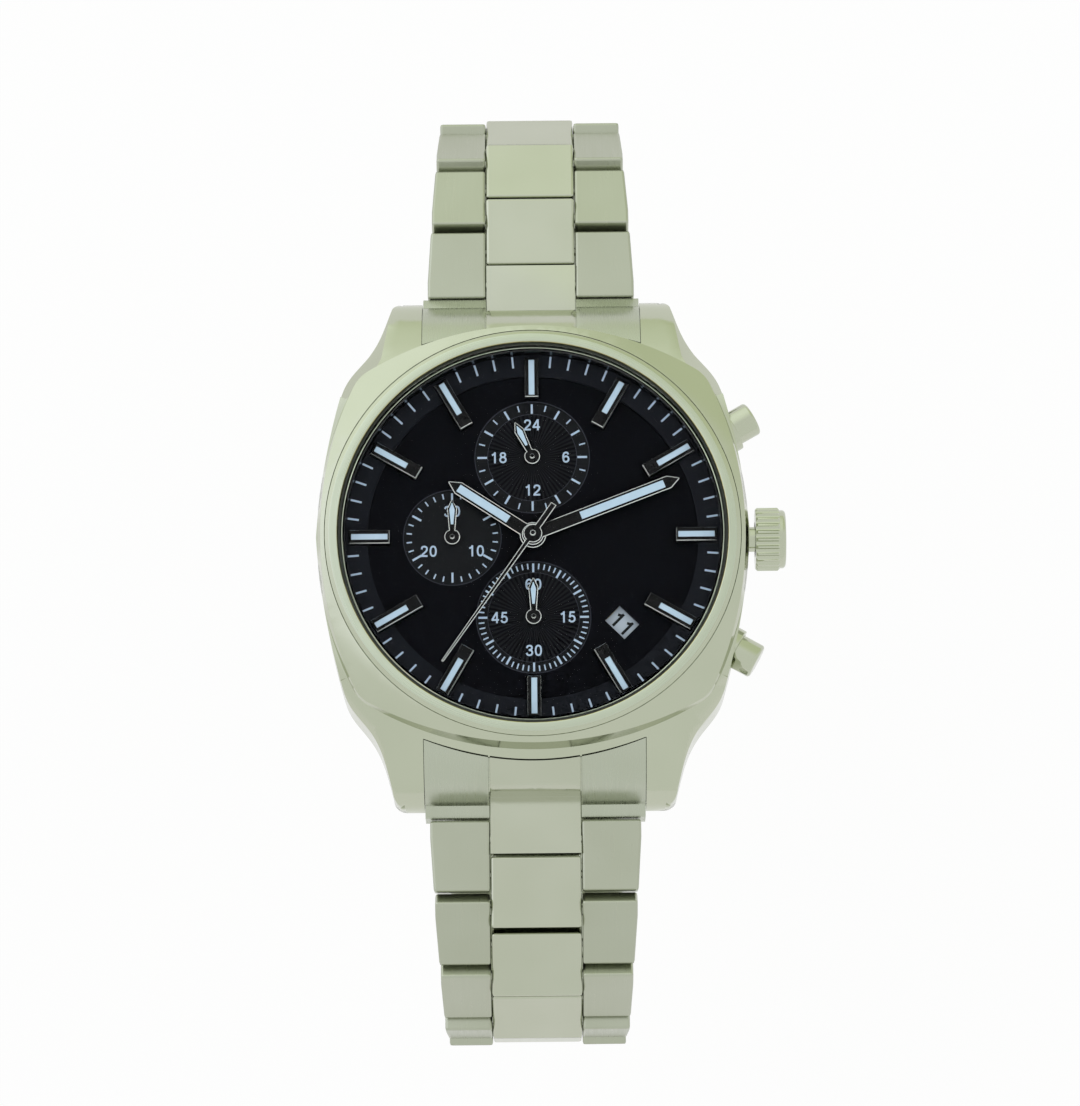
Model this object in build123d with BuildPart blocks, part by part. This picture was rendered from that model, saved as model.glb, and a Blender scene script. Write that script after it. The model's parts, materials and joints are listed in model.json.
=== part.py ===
from build123d import *
from math import asin, atan2, cos, degrees, hypot, radians, sin, sqrt, tan
import os

# Chronograph wristwatch on a three-row steel bracelet, as its separate pieces, in millimetres.
# The origin is the centre of the case back's outer face. +Z points to the dial side, +Y to twelve
# o'clock and +X to the crown. The bracelet is closed into its loop below the case.

# ---------------------------------------------------------------- case
case_width = 43.0            # across the flanks, without the crown
half_width = case_width / 2
lug_gap = 22.0               # between the lugs, the strap width
lug_wall = 3.1               # lug width at its tip
lug_tip_y = half_width + 4.5             # centre line to the lug tips
lug_tip_top = 1.2            # height of the lug tips' upper edge
lug_tip_drop = 1.6           # how far the lugs reach below the case back
lug_tip_r = 1.4              # rounding of the lug tips in plan
lug_root_y = half_width - 4.5            # where the lugs leave the upper deck
ridge_x = lug_gap / 2 + 4.0  # ridge between a lug's upper face and its outer facet, at the plate
ridge_y = half_width - 2.9
ridge_z = 7.9
ridge_tip_x = lug_gap / 2 + 2.9          # and at the lug's tip
facet_lean = 0.9             # the outer facet runs this far outwards for each mm that it falls
facet_turn = 0.35            # and this far towards the tip
end_arc_r = 31.2             # curve of the case between the lugs
case_end_y = half_width + 0.6            # and its outermost point
back_step = 1.0              # case back stands this far below the middle case
deck_z = 8.7                 # shoulder under the cushion plate
plate_margin = 0.1           # cushion plate inside the case's flanks
plate_side_r = 35.0          # curve of the cushion plate's flanks
plate_end_r = 31.6           # and of its ends at twelve and six
plate_end_y = half_width + 0.05
plate_corner_r = 4.0
plate_taper = 12.0           # lean of the plate's rim, degrees
plate_fall = 25.0            # fall of its upper face away from the bezel, degrees
plate_z = 9.4                # seat of the bezel in the plate
movement_bore_r = half_width - 4.5
dial_bore_r = half_width - 2.7
dial_seat_z = 7.8
running = 0.05               # radial clearance of a turning fit
fixed = 0.02                 # radial clearance of a pressed pin
seat = 0.05                  # clearance of a piece laid in its seat

# ---------------------------------------------------------------- bezel and crystal
bezel_r = half_width - 0.9
bezel_top_z = 11.1
bezel_edge = 0.12            # of the glass bore
bezel_slope = 0.45           # of the outer rim
bezel_step = 0.4             # bezel above the plate at its edge
crystal_r = dial_bore_r + 0.2
crystal_z = 10.35
crystal_height = 0.95
crystal_edge = 0.25
gasket_wall = 0.25
rehaut_in_r = dial_bore_r - 0.25

# ---------------------------------------------------------------- case back
back_r = movement_bore_r + 1.2
back_flange = 1.5            # thickness of the case back's flange
spigot_r = movement_bore_r - 0.1
spigot_wall = 0.6
spigot_height = 1.1
back_wall = 0.9
back_gasket_r = movement_bore_r + 0.6
back_gasket_section = 0.5
wrench_notches = 6
wrench_notch_width = 2.4
wrench_notch_height = 0.7

# ---------------------------------------------------------------- dial
dial_height = 0.4
track_in_r = dial_bore_r - 2.4
track_low = 0.12             # rise of the minute track at its inner edge
track_high = 0.5             # and at its outer edge
subdial_offset = 8.15        # centres of the small dials at twelve and six from the dial's centre
counter_offset = 8.0         # and of the one at nine
day_dial_r = 5.75
seconds_dial_r = 5.7
counter_dial_r = 4.9
subdial_depth = 0.12
date_angle = -45.0           # date window at half past four
date_long = 2.75
date_short = 2.14
marker_width = 1.37
marker_height = 0.75
marker_outer_r = dial_bore_r - 0.6
marker_inner_r = marker_outer_r - 5.2    # the eight long markers
quarter_inner_r = marker_outer_r - 4.0   # markers at 12, 3, 6 and 9
lume_width = 0.58
lume_depth = 0.3
lume_end = 0.2               # marker wall beyond the lume strips, all as long as the quarters allow

# ---------------------------------------------------------------- hands
hand_thickness = 0.14
small_hand_z = 8.5
hour_hand_z = 8.92
minute_hand_z = 9.28
chrono_hand_z = 9.64
arbor_r = 0.25
pin_top_z = 10.1
pinion_bore = arbor_r + running
pinion_r = 0.58
hour_bore = pinion_r + running
hour_tube_r = 0.88
dial_hole_r = 1.1
hour_hand_length = 9.97
hour_hand_width = 1.33
hour_hub_r = 1.25
minute_hand_length = 15.6
minute_hand_width = 1.32
minute_hub_r = 1.2
chrono_hand_length = 15.7
chrono_hand_width = 0.5
chrono_tip_width = 0.25
chrono_tail = 3.66
chrono_tail_width = 0.6
chrono_hub_r = 0.92
small_hub_r = 0.76
small_arbor_r = 0.2
small_tail = 1.3
hour_angle = 303.5           # clockwise from twelve
minute_angle = 69.0
chrono_angle = 215.1
day_angle = 334.2
day_hand_length = 3.87
seconds_hand_length = 3.9
counter_hand_length = 3.77
small_hand_width = 1.0

# ---------------------------------------------------------------- movement
plate_r = movement_bore_r - 1.8          # main plate; the holder fills the space round it
main_plate_z = 4.9
main_plate_top = 7.1
bridge_z = 3.9
bridge_rim = 0.6             # train bridge inside the main plate's edge
date_ring_r = plate_r - 1.5
date_ring_in_r = date_ring_r - 2.7
date_ring_z = 7.3
date_ring_height = 0.2
battery_r = 0.3125 * plate_r
battery_height = 2.1
battery_angle = -145.6       # anticlockwise from the crown
battery_circle = plate_r - battery_r - 1.25
battery_recess = 1.1
battery_edge = 0.25
clamp_thickness = 0.25
clamp_width = 2.0
coil_length = 7.0
coil_r = 0.9
coil_circle = plate_r - 2.6
coil_angles = [139.5, -52.2]
coil_flange = 0.6            # thickness of the flanges at a coil's ends
coil_flange_width = 2.2
coil_flange_height = 1.6
coil_room = 0.6              # free space round a coil in the bridge
holder_wall_z = 2.8          # lower face of the movement holder
wheel_z = 6.55
screw_r = 0.5
screw_head_r = 0.9
screw_head_height = 0.45
screw_slot_width = 0.25
screw_slot_depth = 0.2
screw_depth = 1.2            # thread in the main plate
screw_circle = plate_r - 2.0
screw_angles = [43.5, 173.0, -15.5, -88.0, 86.0]
board_thickness = 0.4
board_contact = 0.3          # height of the contact studs between board and bridge
board_contact_r = 0.5
board_in = 2.0               # inner edges, beside the hands' arbors
board_out = plate_r - 3.7    # outer edges
board_corner = 4.5           # size of the cut corner
board_low_y = -5.5

# ---------------------------------------------------------------- crown and pushers
button_z = 6.2               # height of the crown and pusher axes
crown_r = 3.15
crown_length = 3.0
crown_gap = 0.6              # free neck between the case and the crown, first click
crown_travel = 0.5           # each way: pushed home, and out to the second click
crown_flutes = 26
crown_flute_r = 0.3
crown_chamfer = 0.2
crown_cap_length = 0.6       # smooth cap beyond the fluted rim
crown_cap_step = 0.25
crown_cap_edge = 0.35
tube_r = 1.25
tube_bore_r = 0.85
stem_r = 0.45
stem_end_x = plate_r - 6.2
crown_recess = 1.9
pusher_angle = 29.5
pusher_face_r = half_width + 0.1         # the case wall at the pushers
collar_r = 2.18
collar_length = 1.45
pusher_r = 1.73
pusher_reach = 2.3           # cap beyond its collar, at rest
pusher_travel = 0.8
pusher_stem_r = 0.5
pusher_stem_end = plate_r + 1.0
pusher_edge = 0.3
spring_wire_r = 0.12
spring_coil_r = 0.85
spring_turns = 4

# ---------------------------------------------------------------- bracelet
pitch = 7.2                  # pin to pin
link_thickness = 2.9
pin_setback = 1.75           # end of a link beyond its pin
link_gap = 0.1               # gap between neighbouring links, lengthways
side_gap = 0.08              # gap beside each centre link
centre_width = 9.0
first_pin_y = half_width + 7.15
first_pin_z = -1.2
link_pin_r = 0.5
tie_pin_r = 0.4
pin_inset = 0.25             # pin ends below the links' flanks
row_widths = [21.0, 20.1, 19.2, 18.6]    # bracelet width at the first pins; then it stays
end_width = 18.0
slopes_12 = [2.0, 23.0, 50.0, 78.0]      # fall of the first rows, degrees below level
slopes_6 = [6.0, 37.0, 62.0, 91.0]
row_counts = {1: 9, -1: 8}    # rows of links towards twelve and towards six
end_link_y = half_width + 4.2            # outer edge of the end links
end_link_top = 1.05          # height of that edge
end_notch = 1.0              # depth of the notch around the first centre link
lug_bar_y = half_width + 1.7
lug_bar_z = 1.4
lug_bar_r = 0.9
lug_bar_tip_r = 0.5
lug_bar_tip = 0.9

# ---------------------------------------------------------------- clasp
clasp_length = 44.0          # pin to pin
cover_top = 2.3              # outer face beyond the pins' plane
cover_skin = 0.9
cover_wall = 1.1
blade = 0.8                  # blade thickness
blade_width = 11.6
base_low = 0.6               # base blade's outer face, inwards of the pins' plane
middle_low = -0.8
cover_pin_u = 5.2            # hinge between the cover and the middle blade
cover_pin_v = -0.4
blade_pin_u = 36.0           # hinge between the two blades
blade_pin_v = 0.3
hinge_pin_r = 0.4
cover_eye_r = 0.85
blade_eye_r = 1.0
base_eye_r = 1.2
knuckle_half = 2.9
open_pivot_gap = 0.35        # last link to the clasp's free pin and cover

os.makedirs("parts", exist_ok=True)


def write(piece, name):
    """Labels a finished piece and writes it as parts/name.step."""
    piece.label = name
    export_step(piece, f"parts/{name}.step")


def disc(radius, low, high, mode=Mode.ADD, at=(0, 0)):
    """Adds or cuts an upright cylinder between two heights."""
    with BuildSketch(Plane.XY.offset(low)) as profile:
        with Locations(at):
            Circle(radius)
    extrude(profile.sketch, amount=high - low, mode=mode)


def turned(points, mode=Mode.ADD):
    """Revolves a closed outline of (radius, height) corners about the watch's centre line."""
    with BuildSketch(Plane.XZ) as profile:
        with BuildLine():
            Polyline(*points, close=True)
        make_face()
    revolve(profile.sketch, axis=Axis.Z, mode=mode)


def rod(plane, radius, start, end, mode=Mode.ADD):
    """Adds or cuts a cylinder along a plane's normal, from start to end along it."""
    with BuildSketch(plane.offset(start)) as profile:
        Circle(radius)
    extrude(profile.sketch, amount=end - start, mode=mode)


def block(plane, corners, low, high, mode=Mode.ADD):
    """Extrudes a closed outline of corners in a plane, from low to high along its normal."""
    with BuildSketch(plane.offset(low)) as profile:
        with BuildLine():
            Polyline(*corners, close=True)
        make_face()
    extrude(profile.sketch, amount=high - low, mode=mode)


def clock(radius, angle):
    """A place on the dial, by its radius and its angle clockwise from twelve."""
    return radius * sin(radians(angle)), radius * cos(radians(angle))


crown_plane = Plane(origin=(0, 0, button_z), x_dir=(0, 1, 0), z_dir=(1, 0, 0))


def pusher_plane(side):
    """The plane across a pusher's axis, through the watch's centre line; side is 1 or -1."""
    angle = radians(side * pusher_angle)
    return Plane(origin=(0, 0, button_z), x_dir=(-sin(angle), cos(angle), 0),
                 z_dir=(cos(angle), sin(angle), 0))


# ================================================================ middle case
lug_in = lug_gap / 2
lug_out = lug_in + lug_wall
kink_y = lug_root_y + 1.75
shoulder_y = lug_root_y - 1.8


def arc_y(x, radius, outermost):
    """Height in plan, at x, of an arc whose middle lies on the centre line at outermost."""
    return outermost - radius + sqrt(radius ** 2 - x ** 2)


def upright_plane(side, end, start, stop):
    """An upright plane through two places in plan, mirrored to a corner of the case; its x runs from one
    place to the other, and its y upwards."""
    along_x = Vector(side * (stop[0] - start[0]), end * (stop[1] - start[1]), 0).normalized()
    return Plane(origin=(side * start[0], end * start[1], 0), x_dir=along_x, z_dir=along_x.cross(Vector(0, 0, 1)))


def lug_slope(near, far, stretch=1.0):
    """Fall of a lug's upper face: its points' distances from a start, given in turn, and their heights."""
    return Spline((near, ridge_z), (near + (lug_root_y + 3.6 - ridge_y) * stretch, deck_z - 1.9),
                  (far, lug_tip_top), tangents=[(1, -0.42), (0.32, -1)])


def shoulder_profile(side, end):
    """Upright outline above the edge between the shoulder and its facet, from the flank to the ridge."""
    start, stop = (lug_out + 4.4, lug_root_y - 2.8), (ridge_x, ridge_y)
    reach = hypot(stop[0] - start[0], stop[1] - start[1])
    with BuildSketch(upright_plane(side, end, start, stop)) as profile:
        with BuildLine():
            Polyline((0, deck_z), (reach, ridge_z), (reach, 4 * deck_z), (0, 4 * deck_z), close=True)
        make_face()
    return profile.sketch


def lug_profile(side, end):
    """Upright outline above a lug's ridge, from the plate's corner to the tip."""
    start, stop = (ridge_x, ridge_y), (ridge_tip_x, lug_tip_y)
    reach = hypot(stop[0] - start[0], stop[1] - start[1])
    with BuildSketch(upright_plane(side, end, start, stop)) as profile:
        with BuildLine():
            ridge = lug_slope(0, reach, reach / (stop[1] - start[1]))
            Polyline(ridge @ 1, (reach, 0), (2 * reach, 0), (2 * reach, 4 * deck_z), (0, 4 * deck_z), ridge @ 0)
        make_face()
    return profile.sketch


with BuildPart() as mid_case:
    with BuildSketch(Plane.XY.offset(-lug_tip_drop)):
        with BuildLine():
            flank = ThreePointArc((half_width, 0), (half_width - 1.15, 9.0),
                                  (half_width - 2.65, shoulder_y))
            corner = Spline(flank @ 1, (lug_out + 3.85, lug_root_y + 0.05), (lug_out + 2.45, kink_y),
                            (lug_out, lug_tip_y - 1.3), tangents=[flank % 1, (-0.25, 1)])
            tip = RadiusArc(corner @ 1, (lug_out - lug_tip_r, lug_tip_y), -lug_tip_r)
            gap = Polyline(tip @ 1, (lug_in, lug_tip_y), (lug_in, arc_y(lug_in, end_arc_r, case_end_y)))
            end_arc = RadiusArc(gap @ 1, (0, case_end_y), -end_arc_r)
            Polyline(end_arc @ 1, (0, 0), flank @ 0)
        make_face()
        mirror(about=Plane.YZ)
        mirror(about=Plane.XZ)
    extrude(amount=deck_z + lug_tip_drop)
    with BuildSketch(Plane.YZ.offset(-case_width)):
        with BuildLine():
            top = Line((0, deck_z), (lug_root_y - 1.0, deck_z))
            crest = Spline(top @ 1, (ridge_y, ridge_z), tangents=[(1, -0.02), (1, -0.42)])
            slope = lug_slope(ridge_y, lug_tip_y)
            low = Polyline(slope @ 1, (lug_tip_y, -lug_tip_drop + 0.5), (lug_tip_y - 0.7, -lug_tip_drop),
                           (lug_tip_y - 2.4, -lug_tip_drop))
            under = ThreePointArc(low @ 1, (lug_root_y + 3.2, 0.1), (lug_root_y + 0.6, back_step))
            Polyline(under @ 1, (0, back_step), (0, deck_z))
        make_face()
        mirror(about=Plane.YZ)
    extrude(amount=2 * case_width, mode=Mode.INTERSECT)
    for side in (1, -1):
        for end in (1, -1):
            fall = Vector(side * facet_lean, end * facet_turn, -1)
            for profile in (shoulder_profile(side, end), lug_profile(side, end)):
                extrude(profile.moved(Location(-fall)), amount=lug_gap, dir=fall, mode=Mode.SUBTRACT)
    with BuildSketch(Plane.XY.offset(deck_z)) as cushion:
        with Locations(Location((half_width - plate_margin - plate_side_r, 0, 0), 180)):
            Circle(plate_side_r)
        with Locations((plate_side_r + plate_margin - half_width, 0)):
            Circle(plate_side_r, mode=Mode.INTERSECT)
        for side in (1, -1):
            with Locations((0, side * (plate_end_y - plate_end_r))):
                Circle(plate_end_r, mode=Mode.INTERSECT)
        fillet(cushion.vertices(), plate_corner_r)
    extrude(amount=bezel_top_z - deck_z, taper=plate_taper)
    rim_z = bezel_top_z - bezel_step
    turned([(bezel_r, rim_z), (case_width, rim_z - (case_width - bezel_r) * tan(radians(plate_fall))),
            (case_width, 2 * bezel_top_z), (bezel_r, 2 * bezel_top_z)], Mode.SUBTRACT)
    disc(bezel_r + fixed, plate_z, 2 * bezel_top_z, Mode.SUBTRACT)
    disc(movement_bore_r, -lug_tip_drop, plate_z, Mode.SUBTRACT)
    disc(dial_bore_r, dial_seat_z, plate_z, Mode.SUBTRACT)
    disc(back_r + seat, -lug_tip_drop, back_flange, Mode.SUBTRACT)
    groove_in = back_gasket_r - back_gasket_section / 2 - seat
    groove_out = back_gasket_r + back_gasket_section / 2 + seat
    turned([(groove_in, back_flange), (groove_out, back_flange),
            (groove_out, back_flange + back_gasket_section), (groove_in, back_flange + back_gasket_section)],
           Mode.SUBTRACT)
    rod(crown_plane, tube_r + fixed, dial_bore_r - 4, case_width, Mode.SUBTRACT)
    for side in (1, -1):
        rod(pusher_plane(side), tube_r + fixed, dial_bore_r - 4, case_width, Mode.SUBTRACT)
        rod(pusher_plane(side), collar_r + seat, pusher_face_r, case_width, Mode.SUBTRACT)
    for side in (1, -1):
        bar_plane = Plane(origin=(0, side * lug_bar_y, lug_bar_z), x_dir=(0, 1, 0), z_dir=(1, 0, 0))
        reach = lug_in + lug_bar_tip
        rod(bar_plane, lug_bar_tip_r + seat, -reach, reach, Mode.SUBTRACT)
write(mid_case.part, "mid_case")

# ================================================================ case back and its gasket
with BuildPart() as case_back:
    turned([(0, 0), (back_r - 1.6, 0), (back_r - 0.4, 0.35), (back_r, 0.7), (back_r, back_flange),
            (spigot_r, back_flange), (spigot_r, back_flange + spigot_height),
            (spigot_r - spigot_wall, back_flange + spigot_height), (spigot_r - spigot_wall, back_wall),
            (0, back_wall)])
    with BuildSketch():
        with PolarLocations(back_r, wrench_notches):
            Rectangle(wrench_notch_width, wrench_notch_width)
    extrude(amount=wrench_notch_height, mode=Mode.SUBTRACT)
write(case_back.part, "case_back")

with BuildPart() as case_back_gasket:
    low = back_flange
    turned([(groove_in + seat, low), (groove_out - seat, low),
            (groove_out - seat, low + back_gasket_section - seat),
            (groove_in + seat, low + back_gasket_section - seat)])
write(case_back_gasket.part, "case_back_gasket")

# ================================================================ bezel, crystal, gasket, inner ring
glass_bore_r = crystal_r + gasket_wall
with BuildPart() as bezel:
    turned([(dial_bore_r, plate_z), (bezel_r, plate_z), (bezel_r, bezel_top_z - bezel_slope),
            (bezel_r - bezel_slope, bezel_top_z), (glass_bore_r + bezel_edge, bezel_top_z),
            (glass_bore_r, bezel_top_z - bezel_edge), (glass_bore_r, crystal_z), (dial_bore_r, crystal_z)])
write(bezel.part, "bezel")

with BuildPart() as crystal:
    top = crystal_z + crystal_height
    turned([(0, crystal_z), (crystal_r, crystal_z), (crystal_r, top - crystal_edge),
            (crystal_r - crystal_edge, top), (0, top)])
write(crystal.part, "crystal")

with BuildPart() as crystal_gasket:
    turned([(crystal_r, crystal_z), (glass_bore_r, crystal_z), (glass_bore_r, bezel_top_z - 0.3),
            (crystal_r, bezel_top_z - 0.3)])
write(crystal_gasket.part, "crystal_gasket")

dial_z = dial_seat_z + dial_height
with BuildPart() as rehaut:
    turned([(rehaut_in_r, dial_z + track_high + 0.05), (dial_bore_r - seat, dial_z + track_high + 0.05),
            (dial_bore_r - seat, crystal_z), (rehaut_in_r + 0.12, crystal_z),
            (rehaut_in_r, crystal_z - 0.12)])
write(rehaut.part, "rehaut")

# ================================================================ dial
subdials = [  # centre, radius of the recess
    (clock(subdial_offset, 0), day_dial_r),
    (clock(subdial_offset, 180), seconds_dial_r),
    (clock(counter_offset, 270), counter_dial_r),
]


def around(radius, angle):
    """A place in plan by its radius and its angle anticlockwise from the crown."""
    return radius * cos(radians(angle)), radius * sin(radians(angle))


date_centre = around((date_ring_r + date_ring_in_r) / 2, date_angle)
with BuildPart() as dial:
    disc(dial_bore_r - seat, dial_seat_z, dial_z)
    for centre, radius in subdials:
        disc(radius, dial_z - subdial_depth, dial_z, Mode.SUBTRACT, centre)
        disc(small_arbor_r * 2, dial_seat_z, dial_z, Mode.SUBTRACT, centre)
    disc(dial_hole_r, dial_seat_z, dial_z, Mode.SUBTRACT)
    with BuildSketch(Plane.XY.offset(dial_seat_z)):
        with Locations(Location((*date_centre, 0), date_angle)):
            Rectangle(date_long, date_short)
    extrude(amount=dial_height, mode=Mode.SUBTRACT)
write(dial.part, "dial")


def marker_start(hour):
    """Inner end of an hour's marker: the four quarters are shorter."""
    return quarter_inner_r if hour % 3 == 0 else marker_inner_r


def lume_bar(hour, top, mode=Mode.ADD):
    """An hour's lume strip, or the channel for it, up to a height."""
    marker_bar(hour, quarter_inner_r + lume_end, marker_outer_r - lume_end, lume_width,
               marker_top - lume_depth, top, mode)


def marker_bar(hour, inner, outer, width, low, high, mode=Mode.ADD):
    """A radial bar at an hour, from inner to outer."""
    with BuildSketch(Plane.XY.offset(low)) as profile:
        with Locations(Location((*clock((inner + outer) / 2, 30 * hour), 0), -30 * hour)):
            Rectangle(width, outer - inner)
    extrude(profile.sketch, amount=high - low, mode=mode)


with BuildPart() as chapter_ring:
    turned([(track_in_r, dial_z), (dial_bore_r - seat, dial_z), (dial_bore_r - seat, dial_z + track_high),
            (track_in_r, dial_z + track_low)])
    for hour in range(12):
        marker_bar(hour, marker_start(hour), marker_outer_r + seat, marker_width + 2 * seat, dial_z,
                   dial_z + track_high, Mode.SUBTRACT)
write(chapter_ring.part, "chapter_ring")

marker_top = dial_z + marker_height
with BuildPart() as hour_markers:
    for hour in range(12):
        marker_bar(hour, marker_start(hour), marker_outer_r, marker_width, dial_z, marker_top)
        lume_bar(hour, marker_top, Mode.SUBTRACT)
write(hour_markers.part, "hour_markers")

with BuildPart() as marker_lume:
    for hour in range(12):
        lume_bar(hour, marker_top - seat)
write(marker_lume.part, "marker_lume")

# ================================================================ movement
with BuildPart() as date_ring:
    disc(date_ring_r, date_ring_z, date_ring_z + date_ring_height)
    disc(date_ring_in_r, date_ring_z, date_ring_z + date_ring_height, Mode.SUBTRACT)
write(date_ring.part, "date_ring")

with BuildPart() as movement_ring:
    disc(movement_bore_r - seat, holder_wall_z, dial_seat_z)
    disc(plate_r + seat, holder_wall_z, dial_seat_z, Mode.SUBTRACT)
    rod(crown_plane, tube_bore_r, plate_r - 1, movement_bore_r, Mode.SUBTRACT)
    for side in (1, -1):
        rod(pusher_plane(side), tube_bore_r, plate_r - 1, movement_bore_r, Mode.SUBTRACT)
write(movement_ring.part, "movement_ring")

battery_at = around(battery_circle, battery_angle)
screw_places = [around(screw_circle, angle) for angle in screw_angles]
with BuildPart() as main_plate:
    disc(plate_r, main_plate_z, main_plate_top)
    disc(plate_r, main_plate_top, dial_seat_z)
    disc(date_ring_r + 2 * seat, date_ring_z - seat, dial_seat_z, Mode.SUBTRACT)
    disc(date_ring_in_r - 2 * seat, date_ring_z - seat, dial_seat_z - 2 * seat)
    disc(battery_r + 3 * seat, main_plate_z, main_plate_z + battery_recess, Mode.SUBTRACT, battery_at)
    disc(hour_tube_r + running, main_plate_z, dial_seat_z, Mode.SUBTRACT)
    for centre, radius in subdials:
        disc(small_arbor_r + running, main_plate_z, dial_seat_z, Mode.SUBTRACT, centre)
    for place in screw_places:
        disc(screw_r + fixed, main_plate_z, main_plate_z + screw_depth + 2 * seat, Mode.SUBTRACT, place)
    rod(crown_plane, stem_r + running, stem_end_x - crown_travel - 0.3, case_width, Mode.SUBTRACT)
write(main_plate.part, "main_plate")


def coil_plane(angle):
    """An upright plane on a coil's middle: its x runs along the coil, its y outwards."""
    return Plane(origin=(*around(coil_circle, angle), bridge_z), x_dir=(*around(1, angle - 90), 0))


with BuildPart() as train_bridge:
    disc(plate_r - bridge_rim, bridge_z, main_plate_z)
    disc(battery_r + 7 * seat, bridge_z, main_plate_z, Mode.SUBTRACT, battery_at)
    for angle in coil_angles:
        end, inner = coil_length / 2 + coil_flange + coil_room, -coil_flange_width / 2 - coil_room
        block(coil_plane(angle), [(-end, inner), (end, inner), (end, plate_r), (-end, plate_r)], 0,
              main_plate_z - bridge_z, Mode.SUBTRACT)
    for place in screw_places:
        disc(screw_r + fixed, bridge_z, main_plate_z, Mode.SUBTRACT, place)
write(train_bridge.part, "train_bridge")

with BuildPart() as bridge_screws:
    head_z = bridge_z - screw_head_height
    for place in screw_places:
        disc(screw_r, bridge_z, main_plate_z + screw_depth, at=place)
        disc(screw_head_r, head_z, bridge_z, at=place)
        with BuildSketch(Plane.XY.offset(head_z)) as slot:
            with Locations(place):
                Rectangle(3 * screw_head_r, screw_slot_width)
        extrude(slot.sketch, amount=screw_slot_depth, mode=Mode.SUBTRACT)
write(bridge_screws.part, "bridge_screws")

coil_lift = main_plate_z - bridge_z - coil_r       # the coils lie against the main plate
with BuildPart() as motor_coils:
    for angle in coil_angles:
        with Locations(coil_plane(angle).offset(coil_lift)):
            Cylinder(coil_r, coil_length, rotation=(0, 90, 0))
            with Locations((coil_length / 2 + coil_flange / 2, 0, 0), (-coil_length / 2 - coil_flange / 2, 0, 0)):
                Box(coil_flange, coil_flange_width, coil_flange_height)
write(motor_coils.part, "motor_coils")

board_top = bridge_z - board_contact
with BuildPart() as circuit_board:
    block(Plane.XY, [(-board_in, board_in), (-board_in, board_out), (board_out - board_corner, board_out),
                     (board_out, board_out - board_corner), (board_out, board_low_y), (-board_low_y, board_low_y),
                     (board_in, board_in)], board_top - board_thickness, board_top)
    for place in screw_places:
        disc(screw_head_r + 4 * seat, board_top - board_thickness, bridge_z, Mode.SUBTRACT, place)
    for place in ((-board_in / 2, 2 * board_in), (board_out - 3.5, 0), (2 * board_in, board_out - 1.5)):
        disc(board_contact_r, board_top, bridge_z, at=place)
write(circuit_board.part, "circuit_board")

battery_low = main_plate_z + battery_recess - seat - battery_height
with BuildPart() as battery:
    disc(battery_r, battery_low, battery_low + battery_height, at=battery_at)
    fillet(battery.edges().filter_by(GeomType.CIRCLE), battery_edge)
write(battery.part, "battery")

with BuildPart() as battery_clamp:
    with BuildSketch(Plane.XY.offset(battery_low - seat - clamp_thickness)):
        with Locations(Location((*battery_at, 0), battery_angle + 90)):
            SlotOverall(2 * battery_r + 1.7 * clamp_width, clamp_width)
    extrude(amount=clamp_thickness)
write(battery_clamp.part, "battery_clamp")

# ================================================================ hands and their arbors


def baton(angle, length, width, hub_r, hole_r, low, at=(0, 0), tip_width=0.15, tail=0.0, tail_width=0.0,
          shoulder=0.9):
    """A flat hand pointing at a clock angle: a baton with a tapered tip, a round hub and a tail."""
    half, end = width / 2, length * shoulder
    outline = [(-half, 0), (-half, end), (-tip_width / 2, length), (tip_width / 2, length), (half, end), (half, 0)]
    pointing = Plane(origin=(*at, low), x_dir=(cos(radians(angle)), -sin(radians(angle)), 0))
    with BuildSketch(pointing) as profile:
        with BuildLine():
            Polyline(*outline, close=True)
        make_face()
        Circle(hub_r)
        if tail:
            with Locations((0, -tail / 2)):
                Rectangle(tail_width, tail)
        Circle(hole_r, mode=Mode.SUBTRACT)
    extrude(profile.sketch, amount=hand_thickness)


with BuildPart() as hour_wheel:
    disc(hour_tube_r, wheel_z, hour_hand_z + hand_thickness)
    disc(hour_bore, wheel_z, hour_hand_z + hand_thickness, Mode.SUBTRACT)
write(hour_wheel.part, "hour_wheel")

with BuildPart() as hour_hand:
    baton(hour_angle, hour_hand_length, hour_hand_width, hour_hub_r, hour_tube_r + fixed, hour_hand_z)
write(hour_hand.part, "hour_hand")

with BuildPart() as cannon_pinion:
    disc(pinion_r, main_plate_z, minute_hand_z + hand_thickness)
    disc(pinion_bore, main_plate_z, minute_hand_z + hand_thickness, Mode.SUBTRACT)
write(cannon_pinion.part, "cannon_pinion")

with BuildPart() as minute_hand:
    baton(minute_angle, minute_hand_length, minute_hand_width, minute_hub_r, pinion_r + fixed, minute_hand_z,
          shoulder=0.93)
write(minute_hand.part, "minute_hand")

with BuildPart() as chrono_arbor:
    disc(arbor_r, main_plate_z, pin_top_z)
write(chrono_arbor.part, "chrono_arbor")

with BuildPart() as chrono_seconds_hand:
    baton(chrono_angle, chrono_hand_length, chrono_hand_width, chrono_hub_r, arbor_r + fixed, chrono_hand_z,
          tip_width=chrono_tip_width, tail=chrono_tail, tail_width=chrono_tail_width, shoulder=0.1)
write(chrono_seconds_hand.part, "chrono_seconds_hand")

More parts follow.
